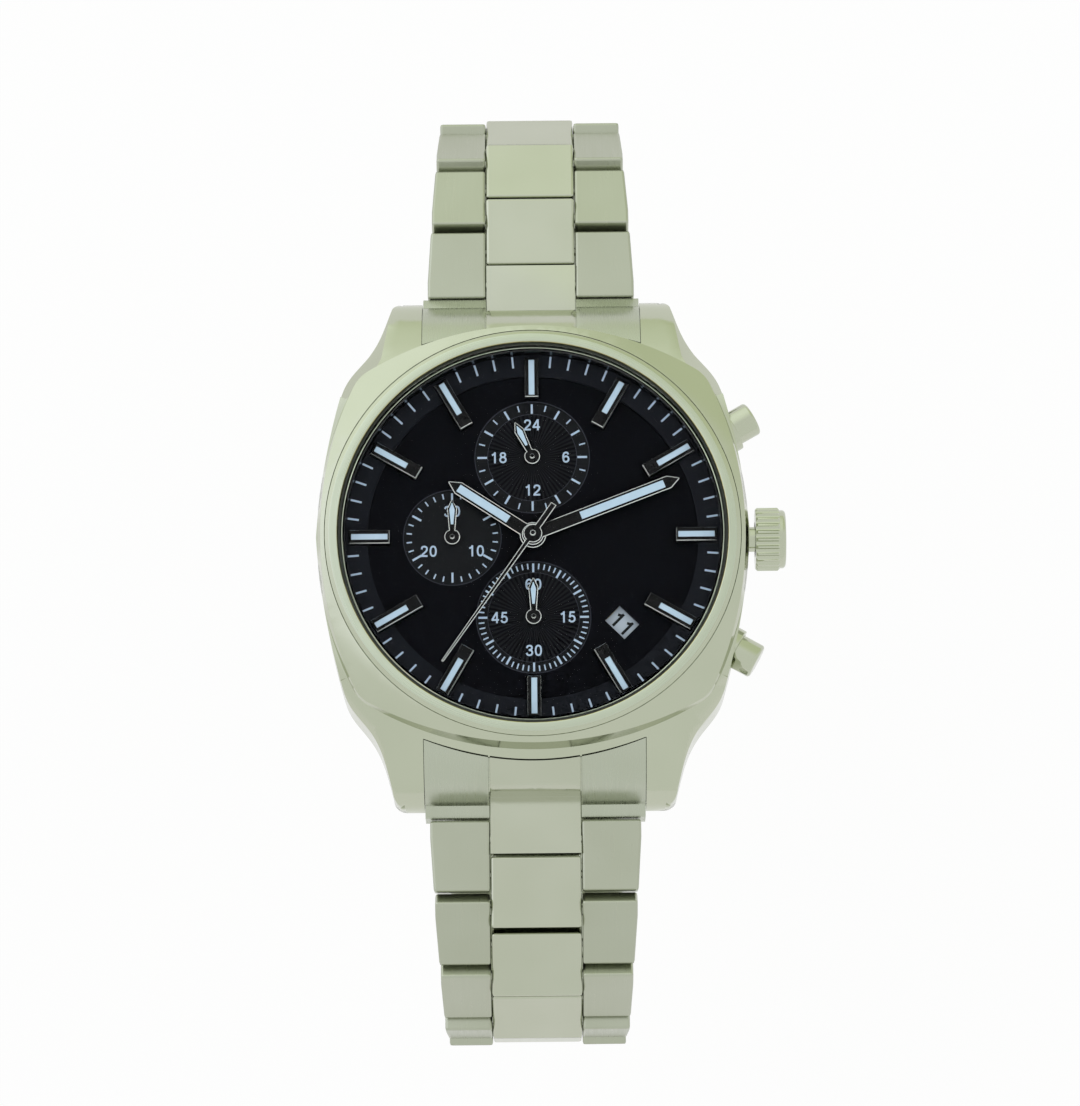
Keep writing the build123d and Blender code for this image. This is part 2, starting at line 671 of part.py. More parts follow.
small_hands = [
    ("day_hand", subdials[0][0], day_angle, day_hand_length),
    ("small_seconds_hand", subdials[1][0], 0.0, seconds_hand_length),
    ("minute_counter_hand", subdials[2][0], 0.0, counter_hand_length),
]
for name, centre, angle, length in small_hands:
    with BuildPart() as small_hand:
        baton(angle, length, small_hand_width, small_hub_r, small_arbor_r + fixed, small_hand_z, centre,
              tail=small_tail, tail_width=small_hand_width * 0.6, shoulder=0.75)
        disc(small_arbor_r, main_plate_z + 0.2, small_hand_z + hand_thickness + 0.15, at=centre)
    write(small_hand.part, name)

# ================================================================ crown, stem and pushers
crown_in = half_width + crown_gap
crown_out = crown_in + crown_length
tube_end = crown_in + crown_recess - crown_travel - crown_gap
with BuildPart() as case_tubes:
    rod(crown_plane, tube_r, movement_bore_r + 0.2, tube_end)
    rod(crown_plane, tube_bore_r, movement_bore_r, tube_end, Mode.SUBTRACT)
    for side in (1, -1):
        plane = pusher_plane(side)
        rod(plane, tube_r, movement_bore_r + 0.2, pusher_face_r)
        rod(plane, collar_r, pusher_face_r, pusher_face_r + collar_length)
        rod(plane, pusher_stem_r + running, movement_bore_r, pusher_face_r, Mode.SUBTRACT)
        rod(plane, pusher_r + running, pusher_face_r, pusher_face_r + collar_length, Mode.SUBTRACT)
write(case_tubes.part, "case_tubes")

with BuildPart() as crown:
    rim_out = crown_out - crown_cap_length
    rod(crown_plane, crown_r, crown_in, rim_out)
    chamfer(crown.edges().filter_by(GeomType.CIRCLE), crown_chamfer)
    with BuildSketch(crown_plane.offset(crown_in)):
        with PolarLocations(crown_r + 0.08, crown_flutes):
            Circle(crown_flute_r)
    extrude(amount=crown_length, mode=Mode.SUBTRACT)
    rod(crown_plane, crown_r - crown_cap_step, rim_out, crown_out)
    fillet(crown.edges().filter_by(GeomType.CIRCLE).sort_by(Axis.X)[-1], crown_cap_edge)
    rod(crown_plane, tube_r + 0.5, crown_in, crown_in + crown_recess, Mode.SUBTRACT)
    rod(crown_plane, stem_r + fixed, crown_in, crown_out - 0.8, Mode.SUBTRACT)
write(crown.part, "crown")

with BuildPart() as winding_stem:
    rod(crown_plane, stem_r, stem_end_x, crown_out - 0.85)
write(winding_stem.part, "winding_stem")

with BuildPart() as crown_gasket:
    rod(crown_plane, tube_r + 0.45, crown_in + 0.15, crown_in + 0.6)
    rod(crown_plane, tube_r + running, crown_in + 0.15, crown_in + 0.6, Mode.SUBTRACT)
write(crown_gasket.part, "crown_gasket")

cap_low = pusher_face_r + pusher_travel + 0.1
cap_high = pusher_face_r + collar_length + pusher_reach
for name, side in (("start_pusher", 1), ("reset_pusher", -1)):
    plane = pusher_plane(side)
    with BuildPart() as pusher:
        rod(plane, pusher_r, cap_low, cap_high)
        rim = pusher.edges().filter_by(GeomType.CIRCLE).sort_by(Axis(plane.origin, plane.z_dir))[-1]
        fillet(rim, pusher_edge)
        rod(plane, pusher_stem_r, pusher_stem_end, cap_low)
    write(pusher.part, name)
    with BuildPart() as pusher_spring:
        room = cap_low - pusher_face_r
        lead = (room - 4 * spring_wire_r) / spring_turns
        start = plane.offset(pusher_face_r + 2 * spring_wire_r)
        with BuildLine():
            coil = Helix(lead, lead * spring_turns, spring_coil_r, center=start.origin, direction=start.z_dir)
        with BuildSketch(Plane(origin=coil @ 0, z_dir=coil % 0)):
            Circle(spring_wire_r)
        sweep(path=coil)
    write(pusher_spring.part, name.replace("pusher", "pusher_spring"))

# ================================================================ bracelet
half_link = link_thickness / 2


def row_plane(side, pin, slope, x=0.0):
    """A plane across the pins: its x runs outwards along the row, its y out of the bracelet's top face."""
    return Plane(origin=(x, pin[0], pin[1]), x_dir=(0, side * cos(radians(slope)), -sin(radians(slope))),
                 z_dir=(side, 0, 0))


def turning(slopes, count, strength):
    """Slopes of a whole side: the stated ones, then an easing turn towards level, upside down."""
    hidden = count - len(slopes)
    last = slopes[-1]
    turned_rows = [last + (180 - last) * (1 - (1 - j / (hidden + 1)) ** strength)
                   for j in range(1, hidden + 1)]
    return list(slopes) + turned_rows


def pins_of(side, slopes):
    """The pins of one side as (y, z): the first on the end link, the last on the clasp."""
    pins = [(side * first_pin_y, first_pin_z)]
    for slope in slopes:
        y, z = pins[-1]
        pins.append((y + side * pitch * cos(radians(slope)), z - pitch * sin(radians(slope))))
    return pins


def loop_for(strength):
    """Both sides' slopes and pins for one strength of the hidden turn."""
    falls = {1: turning(slopes_12, row_counts[1], strength), -1: turning(slopes_6, row_counts[-1], strength)}
    return falls, {side: pins_of(side, falls[side]) for side in falls}


weak, strong = 0.2, 12.0                 # the hidden rows turn just fast enough to meet the clasp
for _ in range(60):
    strength = (weak + strong) / 2
    falls, pins = loop_for(strength)
    span = hypot(pins[1][-1][0] - pins[-1][-1][0], pins[1][-1][1] - pins[-1][-1][1])
    weak, strong = (strength, strong) if span > clasp_length else (weak, strength)


def width_at(number):
    """Width of the bracelet at a pin, the first pin being number 0."""
    return row_widths[number] if number < len(row_widths) else end_width


heel_run = sqrt(pin_setback ** 2 - half_link ** 2)    # where the round heel meets the lower face


def heel(x, side):
    """The round heel at a link's end: from the lower face to the pins' plane, turned about the pin at x."""
    middle = asin(half_link / pin_setback) / 2
    return ThreePointArc((x + side * heel_run, -half_link),
                         (x + side * pin_setback * cos(middle), -pin_setback * sin(middle)),
                         (x + side * pin_setback, 0))


def outer_profile(plane, far):
    """Side of an outer link, from the heel about its own pin to a flat far end."""
    with BuildSketch(plane) as profile:
        with BuildLine():
            arc = heel(0, -1)
            Polyline(arc @ 1, (-pin_setback, half_link), (far, half_link), (far, -half_link), arc @ 0)
        make_face()
    return profile.sketch


def centre_profile(plane, near):
    """Side of a centre link, from a flat near end to the heel about the next pin."""
    with BuildSketch(plane) as profile:
        with BuildLine():
            arc = heel(pitch, 1)
            Polyline(arc @ 1, (pitch + pin_setback, half_link), (near, half_link), (near, -half_link), arc @ 0)
        make_face()
    return profile.sketch


def along(plane, u, v=0.0):
    """The same plane with its origin moved to a point of its own."""
    return Plane(origin=plane.from_local_coords(Vector(u, v, 0)), x_dir=plane.x_dir, z_dir=plane.z_dir)


def both_ways(profile, low, high, mode=Mode.ADD):
    """Extrudes a side profile on both flanks of the bracelet, between two distances from its middle."""
    for flank_side in (1, -1):
        direction = Vector(flank_side, 0, 0)
        extrude(profile.moved(Location(direction * low)), amount=high - low, dir=direction, mode=mode)


def full_width(profile, half, mode=Mode.ADD):
    """Extrudes a side profile through the middle, to the same distance on both sides."""
    extrude(profile, amount=half, both=True, mode=mode)


link_inner = centre_width / 2 + side_gap
for side, tag in ((1, "12"), (-1, "6")):
    for number in range(row_counts[side]):
        last_free = side == 1 and number == row_counts[side] - 1
        plane = row_plane(side, pins[side][number], falls[side][number])
        start_half, end_half = width_at(number) / 2, width_at(number + 1) / 2
        end_space = open_pivot_gap if last_free else link_gap
        with BuildPart() as row:
            both_ways(outer_profile(plane, pitch - pin_setback - end_space), link_inner, start_half)
            full_width(centre_profile(plane, pin_setback + link_gap), centre_width / 2)
            if last_free:
                short = pitch - link_pin_r - open_pivot_gap
                block(plane, [(short, -pitch), (short, pitch), (2 * pitch, pitch), (2 * pitch, -pitch)],
                      -end_width, end_width, Mode.SUBTRACT)
            top = Plane(origin=plane.origin, x_dir=plane.x_dir, z_dir=plane.y_dir)
            slant = (start_half - end_half) / pitch
            near, far = -2 * pin_setback, pitch + 2 * pin_setback
            block(top, [(near, start_half - near * slant), (far, start_half - far * slant),
                        (far, far * slant - start_half), (near, near * slant - start_half)],
                  -link_thickness, link_thickness, Mode.INTERSECT)
            rod(plane, link_pin_r + fixed, -start_half - 1, start_half + 1, Mode.SUBTRACT)
            tie = along(plane, pitch / 2)
            rod(tie, tie_pin_r + fixed, -start_half - 1, start_half + 1, Mode.SUBTRACT)
            rod(along(plane, pitch), link_pin_r + running, -link_inner, link_inner, Mode.SUBTRACT)
            rod(plane, link_pin_r, pin_inset - start_half, start_half - pin_inset)
            rod(tie, tie_pin_r, pin_inset - end_half, end_half - pin_inset)
        write(row.part, f"link_{tag}_{number + 1}")

# ================================================================ end links and spring bars


def side_plane(side):
    """The watch's middle plane: its x runs outwards to twelve or to six, its y upwards."""
    return Plane(origin=(0, 0, 0), x_dir=(0, side, 0), z_dir=(side, 0, 0))


end_face_y = first_pin_y - pin_setback - link_gap
end_low = first_pin_z - half_link
end_in_y = arc_y(lug_in, end_arc_r, case_end_y) - lug_tip_r


def end_link_top_line(drop):
    """The end link's curved top, lowered by a drop."""
    return Spline((end_in_y, deck_z - 0.9 - drop), (half_width + 0.15, deck_z - 2.3 - drop),
                  (end_link_y - 2.05, deck_z - 3.9 - drop), (end_link_y, end_link_top - drop))


for side, name in ((1, "end_link_12"), (-1, "end_link_6")):
    plane = side_plane(side)
    pin_plane = Plane(origin=(0, side * first_pin_y, first_pin_z), x_dir=plane.x_dir, z_dir=plane.z_dir)
    bar_plane = Plane(origin=(0, side * lug_bar_y, lug_bar_z), x_dir=plane.x_dir, z_dir=plane.z_dir)
    with BuildPart() as end_link:
        with BuildSketch(plane) as profile:
            with BuildLine():
                crest = end_link_top_line(0)
                Polyline(crest @ 1, (end_face_y, first_pin_z + half_link - 0.1), (end_face_y, end_low),
                         (lug_bar_y, end_low + 0.6), (end_in_y, end_low + 0.9), crest @ 0)
            make_face()
        full_width(profile.sketch, lug_in - seat)
        for flank_side in (1, -1):
            with BuildSketch(plane.offset(flank_side * (centre_width / 2 + side_gap / 2) - side_gap)) as groove:
                with BuildLine():
                    floor = end_link_top_line(0.3)
                    Polyline(floor @ 1, (end_link_y, deck_z), (end_in_y, deck_z), floor @ 0)
                make_face()
            extrude(groove.sketch, amount=2 * side_gap, mode=Mode.SUBTRACT)
        disc(end_arc_r + seat, -deck_z, deck_z, Mode.SUBTRACT, (0, side * (case_end_y - end_arc_r)))
        notch_y = end_link_y - end_notch
        block(plane, [(notch_y, end_low - 1), (notch_y, deck_z), (end_face_y + 1, deck_z),
                      (end_face_y + 1, end_low - 1)], -link_inner, link_inner, Mode.SUBTRACT)
        with BuildSketch(pin_plane) as stub:
            with BuildLine():
                arc = heel(0, 1)
                root = notch_y - 0.8 - first_pin_y
                Polyline(arc @ 1, (pin_setback, half_link), (root, half_link), (root, -half_link + 0.4), arc @ 0)
            make_face()
        full_width(stub.sketch, centre_width / 2)
        rod(pin_plane, link_pin_r + running, -link_inner, link_inner, Mode.SUBTRACT)
        rod(bar_plane, lug_bar_r + seat, -lug_gap, lug_gap, Mode.SUBTRACT)
    write(end_link.part, name)

with BuildPart() as spring_bars:
    for side in (1, -1):
        bar_plane = Plane(origin=(0, side * lug_bar_y, lug_bar_z), x_dir=(0, 1, 0), z_dir=(1, 0, 0))
        rod(bar_plane, lug_bar_r, -lug_in + 0.2, lug_in - 0.2)
        rod(bar_plane, lug_bar_tip_r, -lug_in - lug_bar_tip + 0.05, lug_in + lug_bar_tip - 0.05)
write(spring_bars.part, "spring_bars")

# ================================================================ clasp: two folding blades under a cover
base_pin, free_pin = pins[-1][-1], pins[1][-1]
clasp_tilt = degrees(atan2(free_pin[1] - base_pin[1], free_pin[0] - base_pin[0]))
clasp = Plane(origin=(0, *base_pin), x_dir=(0, cos(radians(clasp_tilt)), sin(radians(clasp_tilt))),
              z_dir=(1, 0, 0))


def slab(u0, u1, v0, v1, x0, x1, mode=Mode.ADD):
    """A straight bar along the clasp, the same on both flanks when x0 is more than 0."""
    corners = [(u0, v0), (u1, v0), (u1, v1), (u0, v1)]
    if x0 == 0:
        block(clasp, corners, -x1, x1, mode)
    else:
        block(clasp, corners, x0, x1, mode)
        block(clasp, corners, -x1, -x0, mode)


def eye(u, v, radius, x0, x1, mode=Mode.ADD):
    """A round knuckle or a hole across the clasp."""
    if x0 == 0:
        rod(along(clasp, u, v), radius, -x1, x1, mode)
    else:
        rod(along(clasp, u, v), radius, x0, x1, mode)
        rod(along(clasp, u, v), radius, -x1, -x0, mode)


blade_half = blade_width / 2
blade_stop = blade_pin_u - blade_eye_r - 0.2
stub_room = pin_setback + 0.3
with BuildPart() as clasp_base:
    slab(0, blade_stop, base_low, base_low + blade, 0, blade_half)
    slab(-pin_setback, stub_room, -link_thickness, link_thickness, 0, link_inner, Mode.SUBTRACT)
    slab(blade_stop, blade_pin_u, base_low, base_low + blade, knuckle_half + running, blade_half)
    eye(0, 0, base_eye_r, link_inner, blade_half)
    eye(blade_pin_u, blade_pin_v, blade_eye_r, knuckle_half + running, blade_half)
    eye(0, 0, link_pin_r + fixed, 0, blade_half + 1, Mode.SUBTRACT)
    eye(blade_pin_u, blade_pin_v, hinge_pin_r + fixed, 0, blade_half + 1, Mode.SUBTRACT)
    eye(0, 0, link_pin_r, 0, blade_half - 0.1)
    eye(blade_pin_u, blade_pin_v, hinge_pin_r, 0, blade_half - 0.1)
write(clasp_base.part, "clasp_base_blade")

with BuildPart() as clasp_middle:
    slab(cover_pin_u, blade_stop, middle_low, middle_low + blade, 0, blade_half)
    slab(blade_stop, blade_pin_u, middle_low, middle_low + blade, 0, knuckle_half)
    eye(cover_pin_u, cover_pin_v, cover_eye_r, 0, blade_half)
    eye(blade_pin_u, blade_pin_v, blade_eye_r, 0, knuckle_half)
    eye(cover_pin_u, cover_pin_v, hinge_pin_r + running, 0, blade_half + 1, Mode.SUBTRACT)
    eye(blade_pin_u, blade_pin_v, hinge_pin_r + running, 0, blade_half + 1, Mode.SUBTRACT)
    with BuildSketch(Plane(origin=clasp.from_local_coords(Vector((cover_pin_u + blade_stop) / 2, 0, 0)),
                           x_dir=clasp.x_dir, z_dir=clasp.y_dir)) as window:
        SlotOverall(blade_stop - cover_pin_u - 6.0, blade_width - 5.0)
    extrude(window.sketch, amount=link_thickness, both=True, mode=Mode.SUBTRACT)
write(clasp_middle.part, "clasp_middle_blade")

cover_half = end_width / 2
ear_room = blade_half + 0.3
with BuildPart() as clasp_cover:
    with BuildSketch(clasp) as profile:
        with BuildLine():
            middle = asin(half_link / pin_setback) / 2
            west = ThreePointArc((-heel_run, half_link),
                                 (-pin_setback * cos(middle), pin_setback * sin(middle)), (-pin_setback, 0))
            east = ThreePointArc((clasp_length + pin_setback, 0),
                                 (clasp_length + pin_setback * cos(middle), pin_setback * sin(middle)),
                                 (clasp_length + heel_run, half_link))
            Polyline(west @ 1, (-pin_setback, -cover_top + 0.3), (-pin_setback + 0.3, -cover_top),
                     (clasp_length + pin_setback - 0.3, -cover_top),
                     (clasp_length + pin_setback, -cover_top + 0.3), east @ 0)
            Line(east @ 1, west @ 0)
        make_face()
    full_width(profile.sketch, cover_half)
    slab(pin_setback, clasp_length - pin_setback, cover_skin - cover_top, link_thickness, 0,
         cover_half - cover_wall, Mode.SUBTRACT)
    slab(-link_thickness, pin_setback + 1, cover_skin - cover_top, link_thickness, 0, ear_room, Mode.SUBTRACT)
    slab(-link_thickness, stub_room, -link_thickness, link_thickness, 0, link_inner, Mode.SUBTRACT)
    slab(clasp_length - stub_room, clasp_length + link_thickness, -link_thickness, link_thickness, 0,
         link_inner, Mode.SUBTRACT)
    eye(cover_pin_u, cover_pin_v, hinge_pin_r + fixed, 0, cover_half + 1, Mode.SUBTRACT)
    eye(clasp_length, 0, link_pin_r + fixed, 0, cover_half + 1, Mode.SUBTRACT)
    eye(cover_pin_u, cover_pin_v, hinge_pin_r, 0, cover_half - pin_inset)
    eye(clasp_length, 0, link_pin_r, 0, cover_half - pin_inset)
write(clasp_cover.part, "clasp_cover")

for side in (1, -1):
    print("slopes", side, [round(fall, 2) for fall in falls[side]])
    print("pins", side, [(round(y, 4), round(z, 4)) for y, z in pins[side]])
print("clasp tilt", round(clasp_tilt, 4), "span", round(span, 4))
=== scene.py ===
"""Looks of a chronograph wristwatch on a three-row steel bracelet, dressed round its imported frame.

Lengths are millimetres, except in the meshes and on shader sockets, which are metres. Places and
main sizes are read from the frame. +Z points out of the dial, +Y to twelve o'clock, +X to the crown.
"""
import json
import logging
import math
from collections.abc import Callable
from dataclasses import dataclass, field
from enum import Enum

import bmesh
import bpy
import numpy as np
from mathutils import Matrix, Vector


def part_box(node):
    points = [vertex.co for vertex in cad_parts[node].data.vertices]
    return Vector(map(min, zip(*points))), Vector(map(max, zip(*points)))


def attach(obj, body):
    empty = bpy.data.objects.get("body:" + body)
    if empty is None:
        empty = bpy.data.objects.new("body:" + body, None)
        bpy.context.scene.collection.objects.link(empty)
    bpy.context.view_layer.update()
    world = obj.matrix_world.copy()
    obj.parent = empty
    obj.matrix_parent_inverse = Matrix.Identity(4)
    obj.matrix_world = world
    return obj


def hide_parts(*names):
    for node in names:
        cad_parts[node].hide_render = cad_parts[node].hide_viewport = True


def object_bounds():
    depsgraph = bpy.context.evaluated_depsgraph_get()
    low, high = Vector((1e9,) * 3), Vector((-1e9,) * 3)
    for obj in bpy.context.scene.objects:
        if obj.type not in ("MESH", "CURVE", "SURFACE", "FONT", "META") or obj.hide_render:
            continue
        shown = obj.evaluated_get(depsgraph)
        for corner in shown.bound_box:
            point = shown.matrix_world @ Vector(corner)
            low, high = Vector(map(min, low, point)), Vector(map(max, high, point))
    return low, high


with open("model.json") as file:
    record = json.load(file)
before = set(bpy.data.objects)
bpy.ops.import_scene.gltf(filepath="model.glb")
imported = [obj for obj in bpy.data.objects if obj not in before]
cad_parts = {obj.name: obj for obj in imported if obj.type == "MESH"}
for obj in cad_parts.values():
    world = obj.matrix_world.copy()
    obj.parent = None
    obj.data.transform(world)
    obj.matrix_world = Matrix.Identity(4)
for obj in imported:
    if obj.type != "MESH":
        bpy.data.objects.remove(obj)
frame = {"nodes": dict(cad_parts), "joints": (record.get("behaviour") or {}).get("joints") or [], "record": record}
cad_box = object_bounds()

MM = 0.001
log = logging.getLogger("watch")


# ---------------------------------------------------------------- colours and nodes


def linear(colour: str) -> tuple[float, float, float, float]:
    """An sRGB hex colour as linear red, green, blue and an alpha of 1.

    Args:
        colour: six hex digits after a #.

    Returns:
        The four channels that a shader socket takes.
    """
    parts = [int(colour[i:i + 2], 16) / 255 for i in (1, 3, 5)]
    curve = [c / 12.92 if c <= 0.04045 else ((c + 0.055) / 1.055) ** 2.4 for c in parts]
    return (*curve, 1.0)


def add_node(tree: bpy.types.NodeTree, kind: str, sockets: dict | None = None, **settings) -> bpy.types.Node:
    """Adds a shader node with its settings, values and links.

    Args:
        tree: the node tree.
        kind: the node's type name without "ShaderNode".
        sockets: input name or index to a value, or to an output socket that it is linked from.
        settings: the node's own attributes.

    Returns:
        The new node.
    """
    node = tree.nodes.new("ShaderNode" + kind)
    for name, value in settings.items():
        setattr(node, name, value)
    for key, value in (sockets or {}).items():
        if isinstance(value, bpy.types.NodeSocket):
            tree.links.new(value, node.inputs[key])
        else:
            node.inputs[key].default_value = value
    return node


def cleared(owner: bpy.types.Material | bpy.types.World) -> bpy.types.NodeTree:
    """Turns on the nodes of a material or world and takes out those that it came with.

    Args:
        owner: the material or world.

    Returns:
        Its empty node tree.
    """
    owner.use_nodes = True
    owner.node_tree.nodes.clear()
    return owner.node_tree


def seen_straight(tree: bpy.types.NodeTree) -> tuple[bpy.types.Node, bpy.types.NodeSocket]:
    """Tells what the camera looks at straight on or through glass.

    Args:
        tree: the node tree.

    Returns:
        The light path node, and a socket that is 1 for such rays and 0 for the others.
    """
    path = add_node(tree, "LightPath")
    rays = {0: path.outputs["Is Camera Ray"], 1: path.outputs["Is Transmission Ray"]}
    return path, add_node(tree, "Math", rays, operation="MAXIMUM").outputs[0]


class Lay(Enum):
    """Which way the marks of a finish run."""

    ALONG_BRACELET = "lengthways"
    ACROSS = "across"
    ROUND = "in circles about the watch's centre line"
    NONE = "no direction"


GRAIN_LENGTH = 40.0             # a brush mark is this many times longer than it is wide
NOISE_LOW, NOISE_HIGH = 0.3, 0.7    # noise seldom leaves this range


def grain_place(tree: bpy.types.NodeTree, lay: Lay, pitch: float) -> bpy.types.NodeSocket:
    """Coordinates in which one mark of a finish is one unit wide.

    On a round lay the first coordinate is the radius over the pitch, and the other two are the unit
    direction from the centre line, so that the marks close without a seam.

    Args:
        tree: the node tree.
        lay: the way the marks run.
        pitch: width of one mark, in millimetres.

    Returns:
        The vector socket.
    """
    place = add_node(tree, "TexCoord").outputs["Object"]
    fine, coarse = 1 / (pitch * MM), 1 / (GRAIN_LENGTH * pitch * MM)
    if lay is Lay.ROUND:
        flat = add_node(tree, "VectorMath", {0: place, 1: (1, 1, 0)}, operation="MULTIPLY").outputs[0]
        radius = add_node(tree, "VectorMath", {0: flat}, operation="LENGTH").outputs["Value"]
        rings = add_node(tree, "Math", {0: radius, 1: fine}, operation="MULTIPLY").outputs[0]
        around = add_node(tree, "VectorMath", {0: flat}, operation="NORMALIZE").outputs[0]
        sides = add_node(tree, "SeparateXYZ", {0: around})
        return add_node(tree, "CombineXYZ", {0: rings, 1: sides.outputs[0], 2: sides.outputs[1]}).outputs[0]
    scale = {Lay.ALONG_BRACELET: (fine, coarse, coarse), Lay.ACROSS: (coarse, fine, fine),
             Lay.NONE: (fine, fine, fine)}[lay]
    return add_node(tree, "Mapping", {"Vector": place, "Scale": scale}).outputs[0]


# ---------------------------------------------------------------- finishes


@dataclass(frozen=True)
class Finish:
    """One surface finish: its colour, how much that drifts, and its fine relief.

    The colour drifts between two tones over a few millimetres, and noise of the grain's own width
    gives the relief and makes the roughness vary about its middle value.
    """

    name: str
    colour: str
    second: str
    roughness: float
    metallic: float = 0.0
    lay: Lay = Lay.NONE
    pitch: float = 0.1
    depth: float = 0.001
    drift: float = 6.0
    spread: float = 0.15

    def material(self) -> bpy.types.Material:
        """The finish as a material, made the first time it is asked for.

        Returns:
            The material.
        """
        known = bpy.data.materials.get(self.name)
        if known:
            return known
        made = bpy.data.materials.new(self.name)
        tree = cleared(made)
        place = add_node(tree, "TexCoord").outputs["Object"]
        slow = add_node(tree, "TexNoise", {"Vector": place, "Scale": 1 / (self.drift * MM), "Detail": 1.0})
        tone = add_node(tree, "Mix", {0: slow.outputs[0], 6: linear(self.colour), 7: linear(self.second)},
                        data_type="RGBA")
        fine = add_node(tree, "TexNoise", {"Vector": grain_place(tree, self.lay, self.pitch), "Scale": 1.0,
                                           "Detail": 2.0})
        rough = add_node(tree, "MapRange", {0: fine.outputs[0], 1: NOISE_LOW, 2: NOISE_HIGH,
                                            3: self.roughness * (1 - self.spread),
                                            4: self.roughness * (1 + self.spread)})
        relief = add_node(tree, "Bump", {"Height": fine.outputs[0], "Strength": 1.0,
                                         "Distance": self.depth * MM})
        shader = add_node(tree, "BsdfPrincipled", {
            "Base Color": tone.outputs[2], "Roughness": rough.outputs[0], "Normal": relief.outputs[0],
            "Metallic": self.metallic})
        self.finish_shader(shader)
        add_node(tree, "OutputMaterial", {0: shader.outputs[0]})
        return made

    def finish_shader(self, shader: bpy.types.Node) -> None:
        """Sets what only some finishes have on the shader's own sockets."""


@dataclass(frozen=True)
class Steel(Finish):
    """Stainless steel, brushed or polished: a metal with the default index of refraction."""

    metallic: float = 1.0


@dataclass(frozen=True)
class Coating(Finish):
    """A paint, print, lacquer or moulded plastic: a dielectric whose shine is stated."""

    shine: float = 0.5

    def finish_shader(self, shader: bpy.types.Node) -> None:
        """Sets the specular level."""
        shader.inputs["Specular IOR Level"].default_value = self.shine


@dataclass(frozen=True)
class Glass(Finish):
    """Mineral glass: clear right through. Its index is as low as a coating that cancels reflection acts."""

    index: float = 1.02

    def finish_shader(self, shader: bpy.types.Node) -> None:
        """Makes the shader transmit and sets its index of refraction."""
        shader.inputs["Transmission Weight"].default_value = 1.0
        shader.inputs["IOR"].default_value = self.index


# Satin-brushed 316L: long fine scratches that stretch a highlight across them. They are 0.14 mm wide
# here so that they show.
BRUSHED = Steel("brushed_steel_lengthways", "#c0c4b4", "#b7bba8", 0.32, lay=Lay.ALONG_BRACELET, pitch=0.14,
                depth=0.00035)
# The same belt finish on the case and end links.
BRUSHED_CASE = Steel("brushed_steel_case", "#c5cabb", "#bcc1af", 0.29, lay=Lay.ALONG_BRACELET, pitch=0.14,
                     depth=0.0003)
# Circular satin on the bezel's flat ring, turned against a fine abrasive.
TURNED_SATIN = Steel("circular_satin_steel", "#ccd4c0", "#c4ccb9", 0.3, lay=Lay.ROUND, pitch=0.12, depth=0.003)
# Buffed steel: soft, nearly mirror reflections with a faint haze left by the wheel.
POLISHED = Steel("buffed_steel", "#cacebb", "#c2c7b2", 0.12, pitch=0.5, depth=0.0004, spread=0.3)
# The centre links are buffed along the bracelet, so a little grain is left in the shine.
LINK_POLISHED = Steel("buffed_link_steel", "#cacdbd", "#c1c5b2", 0.16, lay=Lay.ALONG_BRACELET, pitch=0.2,
                      depth=0.0004)
# Diamond-cut edges: narrow bright lines round the hands and markers, and a warmer one at the bezel's bore.
CUT_EDGE = Steel("diamond_cut_edge", "#d6dad8", "#c4c8c6", 0.22, pitch=0.3, depth=0.0004)
GOLDEN_EDGE = Steel("cut_bezel_bore", "#c4bf92", "#b3ad84", 0.2, pitch=0.3, depth=0.0004)
# Stamped and barrelled steel of springs, pins and bars: dull, with no grain direction.
TUMBLED = Steel("tumbled_steel", "#9a9c94", "#8b8d85", 0.38, pitch=0.25, depth=0.002)
# Nickel-plated brass of the movement's plates.
PLATED = Steel("nickel_plated_brass", "#b9ae93", "#aaa087", 0.3, lay=Lay.ACROSS, pitch=0.2)
GILT = Steel("gilt_brass", "#c2a55c", "#b3954d", 0.28, pitch=0.2)
# Enamelled copper wire laid side by side: the relief is one wire wide.
WINDING = Steel("enamelled_copper_wire", "#b0683a", "#9c5830", 0.35, lay=Lay.ACROSS, pitch=0.12, depth=0.006)
# Lacquered brass dial: near-black navy under a thin flat lacquer that shows almost no reflection.
DIAL_LACQUER = Coating("navy_dial_lacquer", "#030409", "#04050c", 0.55, pitch=0.06, depth=0.0004, shine=0.05)
TRACK_LACQUER = Coating("navy_track_lacquer", "#0a0d15", "#0e1119", 0.5, pitch=0.06, depth=0.0004, shine=0.1)
SUBDIAL_LACQUER = Coating("navy_subdial_lacquer", "#07090e", "#0a0c11", 0.45, pitch=0.05, depth=0.0004,
                          shine=0.12)
RING_BLACK = Coating("black_anodised_inner_ring", "#0b0c10", "#101216", 0.22, pitch=0.2, depth=0.0004)
# Black nickel faces of hands and markers, inside their cut edges.
HAND_BLACK = Coating("black_nickel_face", "#08080a", "#0c0c0e", 0.3, depth=0.0004, shine=0.12)
# Pad-printed ink: flat, slightly uneven where the pad has lifted.
PRINT = Coating("pad_printed_pale_blue", "#a3b6cf", "#b3c4d8", 0.7, pitch=0.08, depth=0.002, drift=0.5,
                shine=0.2)
RING_PRINT = Coating("faint_printed_ring", "#23262f", "#2b2e38", 0.6, pitch=0.08, shine=0.2)
